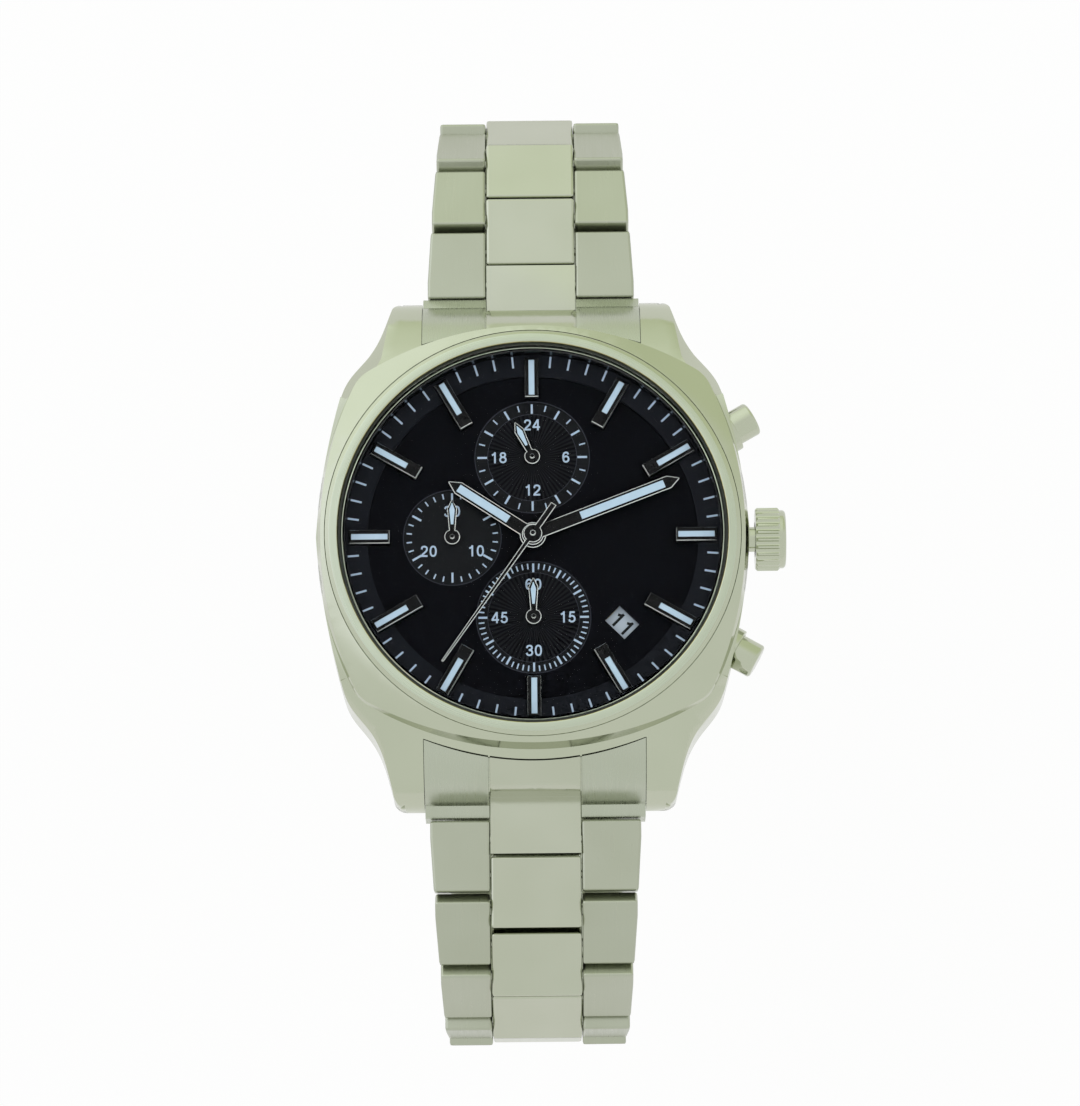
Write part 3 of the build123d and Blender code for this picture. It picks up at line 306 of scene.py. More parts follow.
# Luminous paint: a thick chalky paste of coarse grains.
LUME = Coating("luminous_paint", "#bdd2e4", "#b1c8dc", 0.75, pitch=0.09, depth=0.004, drift=0.8, shine=0.2)
DATE_WHITE = Coating("printed_date_disc", "#b4bdc8", "#a6b1bf", 0.5, shine=0.3)
DATE_INK = Coating("black_date_ink", "#0a0a0c", "#101012", 0.6, pitch=0.08, shine=0.2)
# The crystal's nylon gasket is pale in itself; its near-black colour here is painted shade, standing in for the
# thin dark line round the crystal's rim.
GASKET_PAINTED_SHADE = Coating("nylon_gasket_painted_shade", "#20241f", "#2a2f29", 0.5, shine=0.4)
RUBBER = Coating("nitrile_rubber", "#1b1b1c", "#222223", 0.7, pitch=0.15, depth=0.003, shine=0.3)
MOULDED = Coating("moulded_acetal", "#d8d5ca", "#cdc9bd", 0.5, pitch=0.25, depth=0.003, shine=0.45)
SOLDER_MASK = Coating("green_solder_mask", "#1f5a37", "#194d2f", 0.35, pitch=0.2, depth=0.002)
CRYSTAL = Glass("coated_mineral_glass", "#ffffff", "#fbfffd", 0.0, depth=0.0)


# ---------------------------------------------------------------- meshes


RING_STEPS = 120        # round a printed ring
NEAR = 0.01             # heights and radii that differ by less are taken as equal
SHARP = 32.0            # degrees: a CAD node's edges sharper than this are rounded
MERGED = 0.002          # a CAD mesh's corners nearer than this are one
FLAT = 0.05             # degrees: its faces that differ by less are one


def top_of(node: str) -> float:
    """Height of a CAD node's highest point at rest, in millimetres."""
    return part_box(node)[1].z / MM


def joint_place(name: str) -> tuple[float, float]:
    """Where a joint's upright axis stands, in millimetres."""
    place = next(joint for joint in frame["joints"] if joint["name"] == name)["pos_m"]
    return place[0] / MM, place[1] / MM


def read(items: bpy.types.bpy_prop_collection, attribute: str) -> np.ndarray:
    """A vector attribute of a mesh's vertices or faces.

    Args:
        items: the vertices or faces.
        attribute: its name.

    Returns:
        A row x, y, z for each.
    """
    flat = np.empty(len(items) * 3, np.float32)
    items.foreach_get(attribute, flat)
    return flat.reshape(-1, 3)


def cad_points(node: str) -> np.ndarray:
    """The corners of a CAD node's mesh at rest, in millimetres."""
    return read(frame["nodes"][node].data.vertices, "co").astype(float) / MM


def ring_faces(rings: int, count: int, closed: bool = False) -> np.ndarray:
    """Quads between neighbouring closed rings of points.

    Args:
        rings: number of rings, stored one after the other.
        count: points in each ring.
        closed: also joins the last ring to the first.

    Returns:
        Four point numbers for each face.
    """
    i = np.arange(rings if closed else rings - 1)[:, None]
    j = np.arange(count)[None, :]
    a, b = i * count, (i + 1) % rings * count
    n = (j + 1) % count
    return np.stack(np.broadcast_arrays(a + j, a + n, b + n, b + j), axis=-1).reshape(-1, 4)


def make_piece(mesh: bpy.types.Mesh, finishes: list[Finish], body: str,
               crease: float) -> bpy.types.Object:
    """Makes a piece of a mesh, smooth up to a crease angle, and sets it on its body.

    Args:
        mesh: the mesh, which has the piece's name.
        finishes: its finishes, in the order of their numbers.
        body: the CAD body that it rides on.
        crease: edges sharper than this many degrees stay sharp.

    Returns:
        The piece.
    """
    mesh.shade_smooth()
    mesh.set_sharp_from_angle(angle=math.radians(crease))
    for finish in finishes:
        mesh.materials.append(finish.material())
    piece = bpy.data.objects.new(mesh.name, mesh)
    bpy.context.scene.collection.objects.link(piece)
    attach(piece, body)
    log.info("%s: %d faces on %s", piece.name, len(mesh.polygons), body)
    return piece


@dataclass
class Blank:
    """A mesh put together from closed surfaces, each face with the number of its finish."""

    points: list[np.ndarray] = field(default_factory=list)
    faces: list[list[int]] = field(default_factory=list)
    finishes: list[int] = field(default_factory=list)
    count: int = 0

    def add(self, points: np.ndarray, faces: list, finish: int | np.ndarray = 0) -> None:
        """Adds a surface.

        Args:
            points: its corners, in millimetres.
            faces: point numbers of each face, outwards by the right-hand rule.
            finish: one finish number, or one for each face.
        """
        self.points.append(np.asarray(points, float).reshape(-1, 3))
        self.faces += [[int(v) + self.count for v in face] for face in faces]
        self.finishes += list(np.broadcast_to(finish, len(faces)))
        self.count += len(self.points[-1])

    def make(self, name: str, finishes: list[Finish], body: str,
             crease: float = 30.0) -> bpy.types.Object:
        """Makes the piece and sets it on its body.

        Args:
            name: the piece's name.
            finishes: its finishes, in the order of their numbers.
            body: the CAD body that it rides on.
            crease: edges sharper than this many degrees stay sharp.

        Returns:
            The piece.
        """
        mesh = bpy.data.meshes.new(name)
        mesh.from_pydata(np.concatenate(self.points) * MM, [], self.faces)
        mesh.polygons.foreach_set("material_index", np.array(self.finishes, np.int32))
        return make_piece(mesh, finishes, body, crease)


def inset(outline: np.ndarray, distance: float) -> np.ndarray:
    """An anticlockwise outline moved inwards: each corner goes along the mean of its edges' normals,
    as far as keeps both edges parallel, but at most twice the distance.

    Args:
        outline: its corners (x, y).
        distance: how far its edges move.

    Returns:
        As many corners.
    """
    before, after = outline - np.roll(outline, 1, 0), np.roll(outline, -1, 0) - outline
    normals = [np.stack([-e[:, 1], e[:, 0]], 1) / np.maximum(np.linalg.norm(e, axis=1), 1e-9)[:, None]
               for e in (before, after)]
    middle = normals[0] + normals[1]
    return outline + distance * 2 * middle / np.maximum((middle ** 2).sum(1), 0.5)[:, None]


def plate(outline: np.ndarray, low: float, high: float, edge: float, lift: float | None = None) -> tuple:
    """A flat plate with a bevelled upper edge, as rings of the outline stacked upwards.

    Args:
        outline: anticlockwise corners (x, y).
        low: height of its lower face.
        high: height of its upper face.
        edge: width of the bevel.
        lift: height of the bevel, the same as its width if left out.

    Returns:
        Its points, its faces, and a finish number for each: 0 sides and lower face, 1 bevel, 2 top.
    """
    drop = edge if lift is None else lift
    count = len(outline)
    rings = [(outline, low), (outline, high - drop), (inset(outline, edge), high)]
    points = np.concatenate([np.column_stack([ring, np.full(count, z)]) for ring, z in rings])
    walls = ring_faces(3, count).tolist()
    caps = [list(range(count))[::-1], [2 * count + i for i in range(count)]]
    return points, walls + caps, np.array([0] * count + [1] * count + [0, 2])


def radial_bars(angles: np.ndarray, inner: np.ndarray, outer: np.ndarray, width: np.ndarray,
                floor: Callable[[np.ndarray], np.ndarray], thickness: float,
                centre: tuple[float, float] = (0.0, 0.0)) -> tuple:
    """Thin printed strokes that point at a centre, all worked out at once.

    Corner (s, t) of the stroke at angle a lies at radius t along (sin a, cos a) and s across it, and
    its height follows the floor under that radius.

    Args:
        angles: of each stroke, clockwise from twelve, in degrees.
        inner: radius of each inner end.
        outer: radius of each outer end.
        width: of each stroke.
        floor: height of the surface as a function of the radius.
        thickness: of the ink.
        centre: what the strokes point at.

    Returns:
        Points and faces.
    """
    a, inner, outer, width = np.broadcast_arrays(np.radians(angles), inner, outer, width)
    along = np.stack([np.sin(a), np.cos(a)], 1)
    across = np.stack([np.cos(a), -np.sin(a)], 1)
    corners = []
    for rise in (0.0, thickness):
        for s, t in ((-0.5, inner), (0.5, inner), (0.5, outer), (-0.5, outer)):
            flat = along * t[:, None] + across * (s * width)[:, None] + centre
            corners.append(np.column_stack([flat, floor(t) + rise]))
    points = np.stack(corners, 1).reshape(-1, 3)
    box = np.array([[0, 3, 2, 1], [4, 5, 6, 7], [0, 1, 5, 4], [1, 2, 6, 5], [2, 3, 7, 6], [3, 0, 4, 7]])
    return points, (np.arange(len(a))[:, None, None] * 8 + box).reshape(-1, 4)


def flat_ring(inner: float, outer: float, low: float, thickness: float, centre: tuple[float, float]) -> tuple:
    """A thin washer: corner (r, z) of its section goes to r cos t, r sin t, z about the centre.

    Args:
        inner: radius of its bore.
        outer: its outer radius.
        low: height of its lower face.
        thickness: between its faces.
        centre: where its upright axis stands.

    Returns:
        Its points and faces.
    """
    t = np.linspace(0, 2 * np.pi, RING_STEPS, endpoint=False)[:, None]
    r, z = np.array([inner, outer, outer, inner]), np.array([low, low, low + thickness, low + thickness])
    points = np.stack([centre[0] + r * np.cos(t), centre[1] + r * np.sin(t),
                       np.broadcast_to(z, (RING_STEPS, 4))], axis=-1)
    return points.reshape(-1, 3), ring_faces(RING_STEPS, 4, closed=True)[:, ::-1]


DIGIT_WIDTH = 66        # a digit's height taken as 100
DIGIT_ADVANCE = 77.6    # from one digit's left side to the next one's
CURVE_STEPS = 6         # on each stretch of a curved stroke
STROKE_STEP = 0.0005    # each stroke starts this much higher, so that crossing ones never share a plane
# Centre lines of plain sans-serif digits, a digit's height taken as 100. A stroke of two points is straight,
# a longer one is a smooth curve, and one that ends where it starts is a loop.
DIGITS = {
    "0": [[(33, 92.5), (50, 83), (57, 50), (50, 17), (33, 7.5), (16, 17), (9, 50), (16, 83), (33, 92.5)]],
    "1": [[(40, 0), (40, 100)], [(42, 96), (33, 83), (14, 73)]],
    "2": [[(10, 68), (15, 86), (33, 92.5), (51, 86), (56, 70), (50, 53), (33, 35),
           (17, 20), (9, 6)], [(2, 7.5), (61, 7.5)]],
    "3": [[(9, 72), (17, 87), (33, 92.5), (49, 87), (54, 73), (47, 59), (27, 54)],
          [(27, 54), (49, 48), (57, 30), (50, 13), (32, 7.5), (15, 13), (8, 28)]],
    "4": [[(45, 96), (6, 32)], [(0, 29), (64, 29)], [(47, 100), (47, 0)]],
    "5": [[(13, 92.5), (57, 92.5)], [(20, 96), (13, 46)],
          [(12, 48), (22, 57), (35, 60), (50, 52), (57, 33), (50, 15), (33, 7.5), (16, 13), (8, 27)]],
    "6": [[(55, 74), (47, 88), (34, 92.5), (18, 84), (10, 62), (10, 38), (17, 15),
           (33, 7.5), (50, 14), (57, 32), (50, 51), (34, 57.5), (18, 50), (10, 34)]],
    "7": [[(5, 92.5), (60, 92.5)], [(57, 93), (39, 66), (27, 33), (23, 0)]],
    "8": [[(33, 92.5), (48, 87), (53, 74), (46, 60), (33, 55), (20, 60), (13, 74), (18, 87), (33, 92.5)],
          [(33, 55), (50, 48), (58, 31), (50, 14), (33, 7.5), (16, 14), (8, 31), (16, 48), (33, 55)]],
}
DIGITS["9"] = [[(DIGIT_WIDTH - x, 100 - y) for x, y in stroke] for stroke in DIGITS["6"]]


def drawn(points: np.ndarray) -> np.ndarray:
    """A smooth line through points, closed if it ends where it starts.

    Between points b and c, with a before and d after, a Catmull-Rom curve gives at t from 0 to 1
    b + t (c - a) / 2 + t^2 (2a - 5b + 4c - d) / 2 + t^3 (3b - a - 3c + d) / 2.

    Args:
        points: what the line goes through. Two points are a straight stroke.

    Returns:
        The line's points.
    """
    if len(points) == 2:
        return points
    loop = np.allclose(points[0], points[-1])
    first = points[-2] if loop else 2 * points[0] - points[1]
    last = points[1] if loop else 2 * points[-1] - points[-2]
    p = np.concatenate([[first], points, [last]])
    a, b, c, d = (p[i:len(p) - 3 + i, None] for i in range(4))
    t = np.linspace(0, 1, CURVE_STEPS, endpoint=False)[:, None]
    curve = (b + t * (c - a) / 2 + t ** 2 * (2 * a - 5 * b + 4 * c - d) / 2
             + t ** 3 * (3 * b - a - 3 * c + d) / 2)
    return np.concatenate([curve.reshape(-1, 2), points[-1:]])


def number(text: str, height: float, weight: float, thickness: float) -> tuple:
    """A printed number, centred on the origin: a rectangle carried along each stroke's centre line.

    Args:
        text: the digits.
        height: of the digits.
        weight: width of the strokes.
        thickness: of the ink.

    Returns:
        Points in millimetres and faces.
    """
    points, faces, count = [], [], 0
    for place, digit in enumerate(text):
        for stroke in DIGITS[digit]:
            line = drawn(np.array(stroke, float)) + (place * DIGIT_ADVANCE, 0)
            loop = len(line) > 2 and np.allclose(line[0], line[-1])
            line = line[:-1] if loop else line
            ahead = np.roll(line, -1, 0) - line if loop else np.gradient(line, axis=0)
            behind = line - np.roll(line, 1, 0) if loop else ahead
            way = sum(step / np.linalg.norm(step, axis=1)[:, None] for step in (ahead, behind))
            side = np.stack([-way[:, 1], way[:, 0]], 1) / np.linalg.norm(way, axis=1)[:, None] * weight / 2
            line = line * height / 100
            flat = np.stack([line + side, line - side, line - side, line + side], 1)
            rise = np.array([0, 0, thickness, thickness]) + STROKE_STEP * len(points)
            points.append(np.dstack([flat, np.broadcast_to(rise, flat.shape[:2])]).reshape(-1, 3))
            faces += (ring_faces(len(line), 4, closed=loop)[:, ::-1] + count).tolist()
            last = count + 4 * len(line)
            if not loop:
                faces += [list(range(count, count + 4)), list(range(last - 1, last - 5, -1))]
            count = last
    points = np.concatenate(points)
    middle = (((len(text) - 1) * DIGIT_ADVANCE + DIGIT_WIDTH) * height / 200, height / 2, 0)
    return points - middle, faces


def placed(points: np.ndarray, x: float, y: float, z: float, turn: float = 0.0) -> np.ndarray:
    """Points turned anticlockwise by an angle in degrees about the upright axis, then moved."""
    c, s = math.cos(math.radians(turn)), math.sin(math.radians(turn))
    return points @ np.array([[c, s, 0], [-s, c, 0], [0, 0, 1]]) + (x, y, z)


def clock(radius: float, angle: float) -> tuple[float, float]:
    """A place by its radius and its angle clockwise from twelve, in degrees."""
    return radius * math.sin(math.radians(angle)), radius * math.cos(math.radians(angle))


def softened(node: str, width: float, finishes: list[Finish], body: str,
             choose: Callable[[np.ndarray, np.ndarray], np.ndarray] | None = None,
             reshape: Callable[[np.ndarray], np.ndarray] | None = None, clamp: bool = True) -> bpy.types.Object:
    """Replaces a CAD node by a copy whose sharp edges are rounded.

    The copy's loose triangles are merged and flat ones joined, and a Bevel modifier rounds what is
    sharper than SHARP.

    Args:
        node: the CAD node.
        width: of the rounding.
        finishes: its finishes.
        body: the body that it rides on.
        choose: function from face centres (millimetres) and normals to finish numbers.
        reshape: function that moves the copy's points (millimetres) before it is rounded.
        clamp: keeps the whole rounding as narrow as the smallest face needs.

    Returns:
        The piece.
    """
    source = frame["nodes"][node].data.copy()
    if reshape:
        source.vertices.foreach_set("co", (reshape(read(source.vertices, "co") / MM) * MM).ravel())
    shell = bmesh.new()
    shell.from_mesh(source)
    bpy.data.meshes.remove(source)
    bmesh.ops.remove_doubles(shell, verts=shell.verts, dist=MERGED * MM)
    bmesh.ops.dissolve_limit(shell, angle_limit=math.radians(FLAT), verts=shell.verts, edges=shell.edges)
    mesh = bpy.data.meshes.new(node + "_dressed")
    shell.to_mesh(mesh)
    shell.free()
    if choose:
        kinds = choose(read(mesh.polygons, "center") / MM, read(mesh.polygons, "normal"))
        mesh.polygons.foreach_set("material_index", kinds.astype(np.int32))
    piece = make_piece(mesh, finishes, body, SHARP)
    rounding = piece.modifiers.new("rounding", "BEVEL")
    rounding.width, rounding.segments, rounding.profile = width * MM, 2, 0.6
    rounding.limit_method, rounding.angle_limit = "ANGLE", math.radians(SHARP)
    rounding.harden_normals = True
    rounding.use_clamp_overlap = clamp
    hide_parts(node)
    return piece


def paint(node: str, finish: Finish) -> None:
    """Gives a CAD node that stays as it is its finish.

    Args:
        node: the CAD node.
        finish: the finish.
    """
    mesh = frame["nodes"][node].data
    mesh.materials.clear()
    mesh.materials.append(finish.material())
    log.info("%s: %s", node, finish.name)


# ---------------------------------------------------------------- studio


@dataclass
class Studio:
    """White floor and surround, two large soft lamps, and the camera."""

    tilt: float = 13.3            # camera's lean towards six o'clock, degrees
    roll: float = 0.0095          # radians
    distance: float = 514.0       # from the aim point, millimetres
    aim: tuple = (0.0, 0.0, 8.75)
    offset: tuple = (-0.703, 1.724)    # of the aim point from the view's middle, to the right and up
    lens: float = 168.9
    sensor: float = 36.0
    clip: tuple = (0.05, 10.0)    # metres
    floor_size: float = 3000.0
    floor_drop: float = 50.0
    floor_grey: float = 0.85
    floor_white: float = 0.93     # share of plain white in what the camera sees of the floor
    floor_mirrored: float = 0.88  # how bright the steel mirrors it
    even: tuple = (0.81, 0.83, 0.80)
    warm: tuple = (0.7, 0.75, 0.56)
    warm_range: tuple = (0.15, 0.7)
    lobe: tuple = (0.42, 0.42, 0.54)
    lobe_way: tuple = (-0.6, 0.6, 0.5)
    lobe_range: tuple = (0.5, 1.0)
    lamps: tuple = (("key", (-500, 300, 900), 700, 1.2), ("fill", (600, 200, 700), 600, 0.6))

    def camera(self) -> None:
        """Makes the camera: the aim point, turned by the tilt and the roll, lies at the offset."""
        turn = Matrix.Rotation(self.roll, 3, "Z") @ Matrix.Rotation(-math.radians(self.tilt), 3, "X")
        view = turn.transposed()
        eye = Vector(self.aim) - view @ Vector((*self.offset, -self.distance))
        data = bpy.data.cameras.new("camera")
        data.lens, data.sensor_width = self.lens, self.sensor
        data.clip_start, data.clip_end = self.clip
        camera = bpy.data.objects.new("camera", data)
        camera.matrix_world = Matrix.Translation(eye * MM) @ view.to_4x4()
        bpy.context.scene.collection.objects.link(camera)
        bpy.context.scene.camera = camera

    def floor(self) -> None:
        """A pale floor, nearly white to the camera and with the watch's shadow. It lies as far below
        the closed clasp as the open one hangs down."""
        low, half = cad_box[0].z - self.floor_drop * MM, self.floor_size * MM / 2
        mesh = bpy.data.meshes.new("floor")
        corners = ((-half, -half), (half, -half), (half, half), (-half, half))
        mesh.from_pydata([(x, y, low) for x, y in corners], [], [(0, 1, 2, 3)])
        floor = bpy.data.objects.new("floor", mesh)
        bpy.context.scene.collection.objects.link(floor)
        made = bpy.data.materials.new("matt_white_board")
        tree = cleared(made)
        path, straight = seen_straight(tree)
        seen = add_node(tree, "Math", {0: straight, 1: path.outputs["Is Glossy Ray"]},
                        operation="MAXIMUM").outputs[0]
        share = add_node(tree, "Math", {0: seen, 1: self.floor_white}, operation="MULTIPLY")
        level = add_node(tree, "Mix", {0: straight, 2: self.floor_mirrored, 3: 1.0})
        board = add_node(tree, "BsdfDiffuse", {"Color": (*[self.floor_grey] * 3, 1)})
        glow = add_node(tree, "Emission", {"Color": (1, 1, 1, 1), "Strength": level.outputs[0]})
        both = add_node(tree, "MixShader", {0: share.outputs[0], 1: board.outputs[0], 2: glow.outputs[0]})
        add_node(tree, "OutputMaterial", {0: both.outputs[0]})
        mesh.materials.append(made)

    def surround(self) -> None:
        """White to the camera and through glass. To the watch it is an even tent, brighter in a soft lobe
        at its upper left and a little warmer towards twelve.

        Along a unit direction d, with L the lobe's, the colour is
        mix(even, warm, smooth(d.y over the warm range)) + lobe * smooth(d.L over the lobe's range).
        """
        world = bpy.data.worlds.new("room")
        bpy.context.scene.world = world
        tree = cleared(world)
        way = add_node(tree, "TexCoord").outputs["Generated"]
        parts = add_node(tree, "SeparateXYZ", {0: way})

        def smooth(value: bpy.types.NodeSocket, low: float, high: float) -> bpy.types.NodeSocket:
            """Smooth step of a value between two bounds."""
            return add_node(tree, "MapRange", {0: value, 1: low, 2: high},
                            interpolation_type="SMOOTHSTEP").outputs[0]

        towards = add_node(tree, "VectorMath", {0: way, 1: Vector(self.lobe_way).normalized()},
                           operation="DOT_PRODUCT").outputs["Value"]
        tent = add_node(tree, "Mix", {0: smooth(parts.outputs[1], *self.warm_range), 6: (*self.even, 1),
                                      7: (*self.warm, 1)}, data_type="RGBA").outputs[2]
        lobe = add_node(tree, "VectorMath", {0: self.lobe, "Scale": smooth(towards, *self.lobe_range)},
                        operation="SCALE")
        total = add_node(tree, "VectorMath", {0: tent, 1: lobe.outputs[0]}, operation="ADD").outputs[0]
        room = add_node(tree, "Background", {"Color": total, "Strength": 1.0})
        white = add_node(tree, "Background", {"Color": (1, 1, 1, 1), "Strength": 1.0})
        seen = seen_straight(tree)[1]
        both = add_node(tree, "MixShader", {0: seen, 1: room.outputs[0], 2: white.outputs[0]})
        add_node(tree, "OutputWorld", {0: both.outputs[0]})

    def lamp(self, name: str, place: tuple, size: float, power: float) -> None:
        """A square soft lamp that faces the dial; polished faces mirror the tent, not the lamp.

        Args:
            name: the lamp's name.
            place: where it stands, millimetres.
            size: of its side, millimetres.
            power: in watts.
        """
        data = bpy.data.lights.new(name, "AREA")
        data.size, data.energy = size * MM, power
        lamp = bpy.data.objects.new(name, data)
        lamp.visible_glossy = False
        lamp.location = Vector(place) * MM
        lamp.rotation_euler = (Vector(self.aim) - Vector(place)).to_track_quat("-Z", "Y").to_euler()
        bpy.context.scene.collection.objects.link(lamp)

    def build(self) -> None:
        """Sets the view transform and makes everything in the studio."""
        bpy.context.scene.view_settings.view_transform = "Standard"
        self.camera()
        self.floor()
        self.surround()
        for lamp in self.lamps:
            self.lamp(*lamp)


# ---------------------------------------------------------------- dial


@dataclass
class SmallDial:
    """One small dial: where it is and how it is printed."""

    joint: str
    radius: float
    ticks: int
    major: int
    tick_outer: float
    minor_inner: float
    major_inner: float
    numbers: tuple
    rays: int = 0
    ray_outer: float = 0.0
    number_radius: float = 3.35


@dataclass
class Dial:
    """Dial, minute track, small dials and everything printed on them."""

    ink: float = 0.02             # thickness of the print
    tick_inner: float = 17.35
    tick_outer: float = 18.45
    tick_width: float = 0.19
    major_width: float = 0.2      # of the small dials' ticks
    minor_width: float = 0.13
    number_height: float = 1.13
    number_weight: float = 0.17
    ground_rise: float = 0.012    # this and the next two: above a small dial's CAD floor
    tick_rise: float = 0.01
    number_rise: float = 0.03
    ground_steps: int = 720
    ground_gap: float = 0.02      # between the ground and the small dial's wall
    plain_radius: float = 4.2     # where the rays would end on a small dial without any
    ray_end: float = 0.04         # length of the step at a ray's outer end
    ray_radii: tuple = (0.35, 0.9, 1.8, 2.8, 3.8)
    ray_ease: tuple = (0.3, 0.6, 1.0, 1.0, 1.0)    # share of the rays' depth at those radii
    ray_depth: float = 0.05
    ray_power: float = 0.6        # below 1, the valleys are narrower than the lands
    ring_width: float = 0.09
    ring_rise: float = 0.006      # above the dial
    ray_ring_width: float = 0.07
    ray_ring_height: float = 0.025
    small: tuple = (
        SmallDial("day_hand_turn", 5.75, 24, 2, 5.46, 4.85, 4.5,
                  (("24", 0), ("6", 90), ("12", 180), ("18", 270)), 60, 4.4),
        SmallDial("small_seconds_turn", 5.7, 60, 5, 5.46, 4.9, 4.58,
                  (("60", 0), ("15", 90), ("30", 180), ("45", 270)), 60, 4.5),
        SmallDial("minute_counter_turn", 4.9, 30, 5, 4.55, 4.02, 3.55, (("30", 0), ("10", 120), ("20", 240)),
                  number_radius=2.7),
    )

    def track(self) -> None:
        """The minute ticks on the sloping outer ring, one for each minute without a marker."""
        points = cad_points("chapter_ring")
        reach = np.hypot(points[:, 0], points[:, 1])
        inner, outer = reach.min(), reach.max()
        foot = points[reach < inner + 0.1][:, 2].max()
        slope = (top_of("chapter_ring") - foot) / (outer - inner)
        minutes = np.array([m for m in range(60) if m % 5])
        ticks = Blank()
        ticks.add(*radial_bars(6.0 * minutes, self.tick_inner, self.tick_outer, self.tick_width,
                               lambda r: foot + (r - inner) * slope, self.ink))
        ticks.make("minute_track_print", [PRINT], "case")

    def small_dial(self, spec: SmallDial, order: int) -> None:
        """The ground, rings, ticks, rays and numbers of one small dial.

        Args:
            spec: the small dial.
            order: its number, from 1.
        """
        centre = joint_place(spec.joint)
        points = cad_points("dial")
        near = np.hypot(points[:, 0] - centre[0], points[:, 1] - centre[1]) < spec.radius + NEAR
        floor = points[near][:, 2]
        floor = floor[floor < top_of("dial") - NEAR].max()
        self.ground(spec, centre, floor, order)
        printed = Blank()
        angles = np.arange(spec.ticks) * 360 / spec.ticks
        major = np.arange(spec.ticks) % spec.major == 0
        inner = np.where(major, spec.major_inner, spec.minor_inner)
        width = np.where(major, self.major_width, self.minor_width)
        printed.add(*radial_bars(angles, inner, spec.tick_outer, width,
                                 lambda r: np.full_like(r, floor + self.tick_rise), self.ink, centre))
        for text, angle in spec.numbers:
            digits, faces = number(text, self.number_height, self.number_weight, self.ink)
            x, y = clock(spec.number_radius, angle)
            printed.add(placed(digits, centre[0] + x, centre[1] + y, floor + self.number_rise), faces)
        printed.make(f"small_dial_{order}_print", [PRINT], "case")

    def ground(self, spec: SmallDial, centre: tuple[float, float], floor: float, order: int) -> None:
        """The small dial's own disc: flat at its edge, with fine rays cut in its middle.

        Of n rays, the height at radius r and angle t is the ground's less the ray depth times
        ease(r) (1 - |sin(n t / 2)| ^ power), so each ray is a narrow valley between flat lands.

        Args:
            spec: the small dial.
            centre: where it lies.
            floor: height of its CAD floor.
            order: its number.
        """
        t = np.linspace(0, 2 * np.pi, self.ground_steps, endpoint=False)[:, None]
        outer = spec.ray_outer or self.plain_radius
        r = np.array([*self.ray_radii, outer, outer + self.ray_end, spec.radius - self.ground_gap])
        ease = np.array([*self.ray_ease, 1, 0, 0]) * bool(spec.rays)
        valley = 1 - np.abs(np.sin(t * spec.rays / 2)) ** self.ray_power
        z = floor + self.ground_rise - self.ray_depth * valley * ease
        points = np.stack([centre[0] + r * np.cos(t), centre[1] + r * np.sin(t), z], -1)
        rings = ring_faces(len(t), len(r), closed=True).reshape(len(t), len(r), 4)
        disc = Blank()
        disc.add(points.reshape(-1, 3), rings[:, :-1].reshape(-1, 4)[:, ::-1])
        disc.add(*flat_ring(spec.radius - self.ring_width, spec.radius, floor,
                            top_of("dial") - floor + self.ring_rise, centre), 1)
        if spec.rays:
            disc.add(*flat_ring(spec.ray_outer, spec.ray_outer + self.ray_ring_width, floor,
                                self.ray_ring_height, centre), 1)
        disc.make(f"small_dial_{order}_ground", [SUBDIAL_LACQUER, RING_PRINT], "case", crease=20)

    def build(self) -> None:
        """Paints the dial's nodes and prints all its scales."""
        paint("dial", DIAL_LACQUER)
        paint("chapter_ring", TRACK_LACQUER)
        paint("rehaut", RING_BLACK)
        paint("marker_lume", LUME)
        self.track()
        for order, spec in enumerate(self.small, 1):
            self.small_dial(spec, order)


@dataclass
class DateDisc:
    """The date ring: its numbers read outwards along the radius."""

    shown: int = 11
    days: int = 31
    window: float = 135.0         # clockwise from twelve
    radius: float = 12.36
    height: float = 1.6
    weight: float = 0.27
    ink: float = 0.01

    def build(self) -> None:
        """Paints the ring and prints its numbers, the shown day under the window."""
        paint("date_ring", DATE_WHITE)
        top = top_of("date_ring")
        numbers = Blank()
        for day in range(1, self.days + 1):
            angle = self.window + (self.shown - day) * 360 / self.days
            digits, faces = number(str(day), self.height, self.weight, self.ink)
            numbers.add(placed(digits, *clock(self.radius, angle), top, 90 - angle), faces)
        numbers.make("date_numbers", [DATE_INK], "date_ring")


# ---------------------------------------------------------------- markers and hands


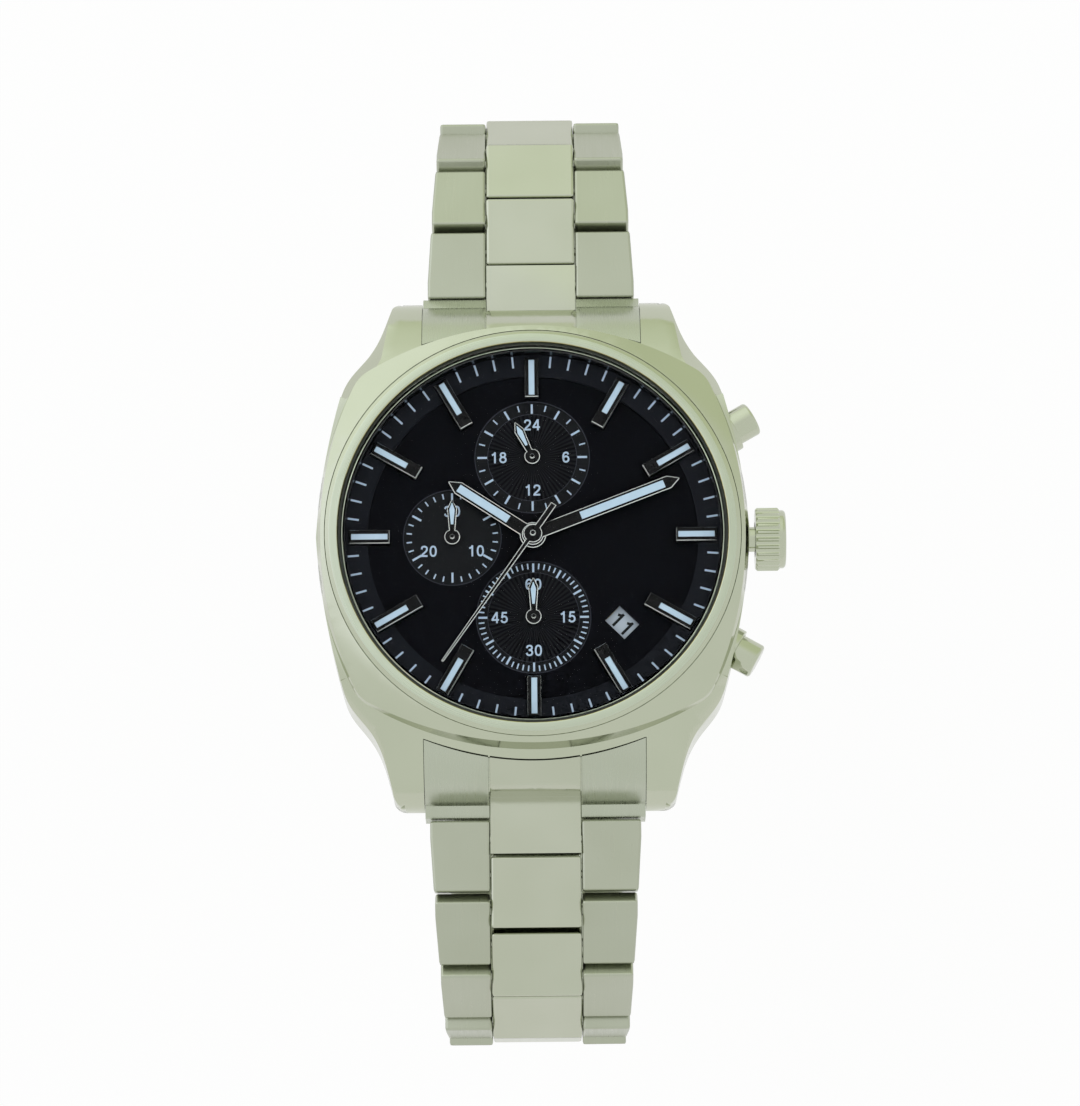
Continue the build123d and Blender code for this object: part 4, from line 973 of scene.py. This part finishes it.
@dataclass
class Markers:
    """Hour markers: black faces in bright cut edges, round a channel of luminous paint."""

    edge: float = 0.075
    channel_gap: float = 0.01     # between the paint and its channel's wall
    channel_floor: float = 0.02   # above the paint's lowest point

    def build(self) -> None:
        """Each marker is a stack of rectangles: foot, wall, bevel, face, channel wall and channel floor."""
        points, lume = cad_points("hour_markers"), cad_points("marker_lume")
        blank = Blank()
        for hour in range(12):
            outer_low, outer_high = self.extent(points, hour)
            lume_low, lume_high = self.extent(lume, hour)
            top, gap = outer_high[2], self.channel_gap
            boxes = [(outer_low, outer_high, 0, outer_low[2]), (outer_low, outer_high, 0, top - self.edge),
                     (outer_low, outer_high, self.edge, top), (lume_low, lume_high, -gap, top),
                     (lume_low, lume_high, -gap, lume_low[2] + self.channel_floor)]
            rings = [[(lo[0] + i, lo[1] + i, z), (hi[0] - i, lo[1] + i, z), (hi[0] - i, hi[1] - i, z),
                      (lo[0] + i, hi[1] - i, z)] for lo, hi, i, z in boxes]
            shape = placed(np.array(rings).reshape(-1, 3), 0, 0, 0, -30 * hour)
            faces = ring_faces(len(boxes), 4).tolist() + [[3, 2, 1, 0], [16, 17, 18, 19]]
            blank.add(shape, faces, np.repeat([0, 1, 0], [4, 4, 10]))
        piece = blank.make("hour_markers_dressed", [HAND_BLACK, CUT_EDGE], "case")
        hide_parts("hour_markers")

    def extent(self, points: np.ndarray, hour: int) -> tuple:
        """Lowest and highest corner of one hour's solid, turned back to twelve.

        Args:
            points: the corners of all twelve.
            hour: the hour, 0 for twelve.

        Returns:
            The two corners.
        """
        back = placed(points, 0, 0, 0, 30 * hour)
        mine = back[(np.abs(back[:, 0]) < 1) & (back[:, 1] > 5)]
        return mine.min(0), mine.max(0)


class HandShape(Enum):
    """Outline of a hand."""

    BATON = "parallel sides and a pointed end"
    LEAF = "widening to a shoulder near the tip"
    NEEDLE = "slim and tapering, with a square tail"


@dataclass(frozen=True)
class Hand:
    """One hand: black face, bright bevel and, where it has one, a luminous insert."""

    node: str
    body: str
    shape: HandShape
    width: float
    hub: float
    shoulder: float = 0.93
    paint_from: float = 0.0
    paint_to: float = 0.0
    paint_width: float = 0.0
    tip: float = 0.1
    tail: float = 0.0
    tail_width: float = 0.6
    edge: float = 0.075
    pin: float = 0.0              # radius of the bright stub in its middle
    pin_node: str = ""            # the stub ends at this node's top, or else at the hand's own
    pin_bevel: float = 0.1
    arc_steps: int = 26
    slope: float = 0.6            # height of the bevel over its width
    proud: float = 0.02           # how far the paint and the stub stand out
    root_width: float = 0.62      # a leaf's width and reach where it leaves the hub, as shares of its
    root_reach: float = 0.85      # shoulder's width and the hub's radius
    paint_root: float = 0.45      # a leaf's paint: its width near the hub over that at its shoulder,
    paint_taper: float = 0.7      # the length of its point, and half the point's width
    paint_tip: float = 0.03

    def outline(self, length: float) -> np.ndarray:
        """The hand pointing at +Y: its blade, then the hub's arc, cut by the tail's square end.

        Args:
            length: from the arbor to the tip.

        Returns:
            Its corners, anticlockwise.
        """
        half = self.width / 2
        if self.shape is HandShape.LEAF:
            right = [(half * self.root_width, self.hub * self.root_reach), (half, length * self.shoulder),
                     (self.tip / 2, length)]
        elif self.shape is HandShape.NEEDLE:
            right = [(half, math.sqrt(self.hub ** 2 - half ** 2)), (self.tip / 2, length)]
        else:
            right = [(half, math.sqrt(self.hub ** 2 - half ** 2)), (half, length * self.shoulder),
                     (self.tip / 2, length)]
        left = [(-x, y) for x, y in reversed(right)]
        start = math.atan2(left[-1][1], left[-1][0])
        end = math.atan2(right[0][1], right[0][0]) + 2 * math.pi
        if self.tail:
            gap = math.asin(self.tail_width / 2 / self.hub)
            arcs = [(start, 1.5 * math.pi - gap), (1.5 * math.pi + gap, end)]
        else:
            arcs = [(start, end)]
        loop = right + left
        for place, (a, b) in enumerate(arcs):
            angles = np.linspace(a, b, self.arc_steps)
            angles = angles[1:] if place == 0 else angles
            angles = angles[:-1] if b == end else angles
            loop += [(self.hub * math.cos(q), self.hub * math.sin(q)) for q in angles]
            if self.tail and place == 0:
                loop += [(-self.tail_width / 2, -self.tail), (self.tail_width / 2, -self.tail)]
        return np.array(loop)

    def build(self, centre: tuple[float, float]) -> None:
        """Builds the hand round its CAD node's direction, length and height.

        Args:
            centre: where its arbor stands.
        """
        points = cad_points(self.node) - (*centre, 0)
        reach = np.hypot(points[:, 0], points[:, 1])
        length = reach.max()
        far = points[reach > length - 0.05].mean(0)
        turn = math.degrees(math.atan2(far[1], far[0])) - 90
        blade = points[reach > length / 2]
        low, high = blade[:, 2].min(), blade[:, 2].max()
        hand = Blank()
        hand.add(*plate(self.outline(length), low, high, self.edge, self.edge * self.slope))
        if self.paint_to:
            w, a, b = self.paint_width / 2, self.paint_from, self.paint_to
            if self.shape is HandShape.LEAF:
                inner, neck, tip = w * self.paint_root, b - self.paint_taper, self.paint_tip
                slot = [(-inner, a), (inner, a), (w, neck), (tip, b), (-tip, b), (-w, neck)]
            else:
                slot = [(-w, a), (w, a), (w, b), (-w, b)]
            shape, faces, _ = plate(np.array(slot), low, high + self.proud, self.proud)
            hand.add(shape, faces, 3)
        if self.pin:
            angles = np.linspace(0, 2 * np.pi, 32, endpoint=False)
            rim = np.column_stack([np.cos(angles), np.sin(angles)]) * self.pin
            top = top_of(self.pin_node or self.node) + self.proud
            shape, faces, kinds = plate(rim, high - self.proud, top, self.pin_bevel)
            hand.add(shape, faces, np.where(kinds == 1, 1, 0))
        hand.points = [placed(p, *centre, 0, turn) for p in hand.points]
        piece = hand.make(self.node + "_dressed", [HAND_BLACK, CUT_EDGE, HAND_BLACK, LUME], self.body)
        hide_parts(self.node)


@dataclass
class Hands:
    """The six hands and the tubes and arbors they sit on."""

    central: tuple = (
        Hand("hour_hand", "hour_hand", HandShape.BATON, 1.33, 1.3, 0.885, 2.9, 8.8, 0.8),
        Hand("minute_hand", "minute_hand", HandShape.BATON, 1.32, 1.08, 0.93, 5.1, 14.0, 0.78),
        Hand("chrono_seconds_hand", "chrono_seconds", HandShape.NEEDLE, 0.46, 0.92, tip=0.22, tail=3.66,
             edge=0.07, pin=0.3, pin_node="chrono_arbor"))

    def build(self) -> None:
        """Builds every hand about its joint."""
        for hand in self.central:
            hand.build((0.0, 0.0))
        for body in ("day_hand", "small_seconds", "minute_counter"):
            node = body if body.endswith("_hand") else body + "_hand"
            hand = Hand(node, body, HandShape.LEAF, 0.98, 0.77, 0.76, 1.25, 3.45, 0.55, edge=0.07, pin=0.26)
            hand.build(joint_place(body + "_turn"))
        for node in ("hour_wheel", "cannon_pinion", "chrono_arbor"):
            paint(node, CUT_EDGE)


# ---------------------------------------------------------------- case, buttons, bracelet, movement


@dataclass
class Case:
    """Middle case, bezel, crystal, case back and their gaskets."""

    edge: float = 0.12
    bezel_edge: float = 0.08
    bezel_bore: float = 19.5      # faces nearer to the centre line are the bore's
    bezel_fall: float = 0.1       # of its satin ring, per millimetre outwards
    back_edge: float = 0.1

    def build(self) -> None:
        """Rounds the steel's edges and paints what lies between."""
        softened("mid_case", self.edge, [POLISHED], "case")
        softened("bezel", self.bezel_edge, [TURNED_SATIN, POLISHED, GOLDEN_EDGE], "case",
                 self.bezel_faces, self.crowned)
        softened("case_back", self.back_edge, [TURNED_SATIN], "case")
        paint("crystal", CRYSTAL)
        # the gasket's near-black colour is painted shade at the crystal's rim
        paint("crystal_gasket", GASKET_PAINTED_SHADE)
        paint("case_back_gasket", RUBBER)

    def crowned(self, points: np.ndarray) -> np.ndarray:
        """Lets the bezel's flat ring fall slightly outwards, so that it shades from side to side.

        Args:
            points: the bezel's corners.

        Returns:
            The moved corners.
        """
        reach = np.hypot(points[:, 0], points[:, 1])
        upper = points[:, 2] > points[:, 2].max() - NEAR
        moved = points.copy()
        moved[upper, 2] -= self.bezel_fall * (reach[upper] - reach[upper].min())
        return moved

    def bezel_faces(self, centres: np.ndarray, normals: np.ndarray) -> np.ndarray:
        """Satin on the bezel's flat ring, a golden cut edge at its bore, polish elsewhere.

        Args:
            centres: of its faces.
            normals: of its faces.

        Returns:
            A finish number for each face.
        """
        radius = np.hypot(centres[:, 0], centres[:, 1])
        flat = normals[:, 2] > 0.95
        return np.where(flat, 0, np.where(radius < self.bezel_bore, 2, 1))


@dataclass
class Buttons:
    """Crown, pushers and the tubes and springs behind them."""

    edge: float = 0.1
    crown_edge: float = 0.06

    def build(self) -> None:
        """Rounds the crown's and pushers' edges and paints the rest."""
        softened("crown", self.crown_edge, [POLISHED], "crown")
        for name in ("start_pusher", "reset_pusher"):
            softened(name, self.edge, [POLISHED], name)
            paint(name + "_spring", TUMBLED)
        softened("case_tubes", self.edge, [POLISHED], "case")
        paint("winding_stem", TUMBLED)
        paint("crown_gasket", RUBBER)


@dataclass
class Bracelet:
    """End links, link rows, spring bars and the folding clasp."""

    edge: float = 0.28
    blade_edge: float = 0.08
    split: float = 4.54           # half the centre row's width

    def link_faces(self, centres: np.ndarray, normals: np.ndarray) -> np.ndarray:
        """Polish on the centre row, brushing on the outer ones."""
        return np.where(np.abs(centres[:, 0]) < self.split, 1, 0)

    def build(self) -> None:
        """Rounds and paints every link, then the clasp's leaves."""
        finishes = [BRUSHED, LINK_POLISHED]
        for body, nodes in frame["record"]["behaviour"]["bodies"].items():
            for node in nodes:
                if node.startswith("link_"):
                    softened(node, self.edge, finishes, body, self.link_faces, clamp=False)
        for node in ("end_link_12", "end_link_6"):
            softened(node, self.edge, [BRUSHED_CASE, LINK_POLISHED], "case", self.link_faces)
        softened("clasp_cover", self.edge, [BRUSHED], "clasp_cover")
        for body in ("clasp_middle", "clasp_base"):
            softened(body + "_blade", self.blade_edge, [LINK_POLISHED], body)
        paint("spring_bars", TUMBLED)


@dataclass
class Movement:
    """What lies between dial and case back."""

    finishes: dict = field(default_factory=lambda: {
        "movement_ring": MOULDED, "main_plate": PLATED, "train_bridge": PLATED, "bridge_screws": TUMBLED,
        "motor_coils": WINDING, "circuit_board": SOLDER_MASK, "battery": TUMBLED, "battery_clamp": GILT})

    def build(self) -> None:
        """Paints each node."""
        for node, finish in self.finishes.items():
            paint(node, finish)


def main() -> None:
    """Builds the studio, then every sub-assembly from the dial outwards."""
    logging.basicConfig(level=logging.INFO, format="%(name)s %(message)s")
    for part in (Studio(), Dial(), DateDisc(), Markers(), Hands(), Case(), Buttons(), Bracelet(), Movement()):
        log.info("building %s", type(part).__name__)
        part.build()


if __name__ == "__main__":
    main()
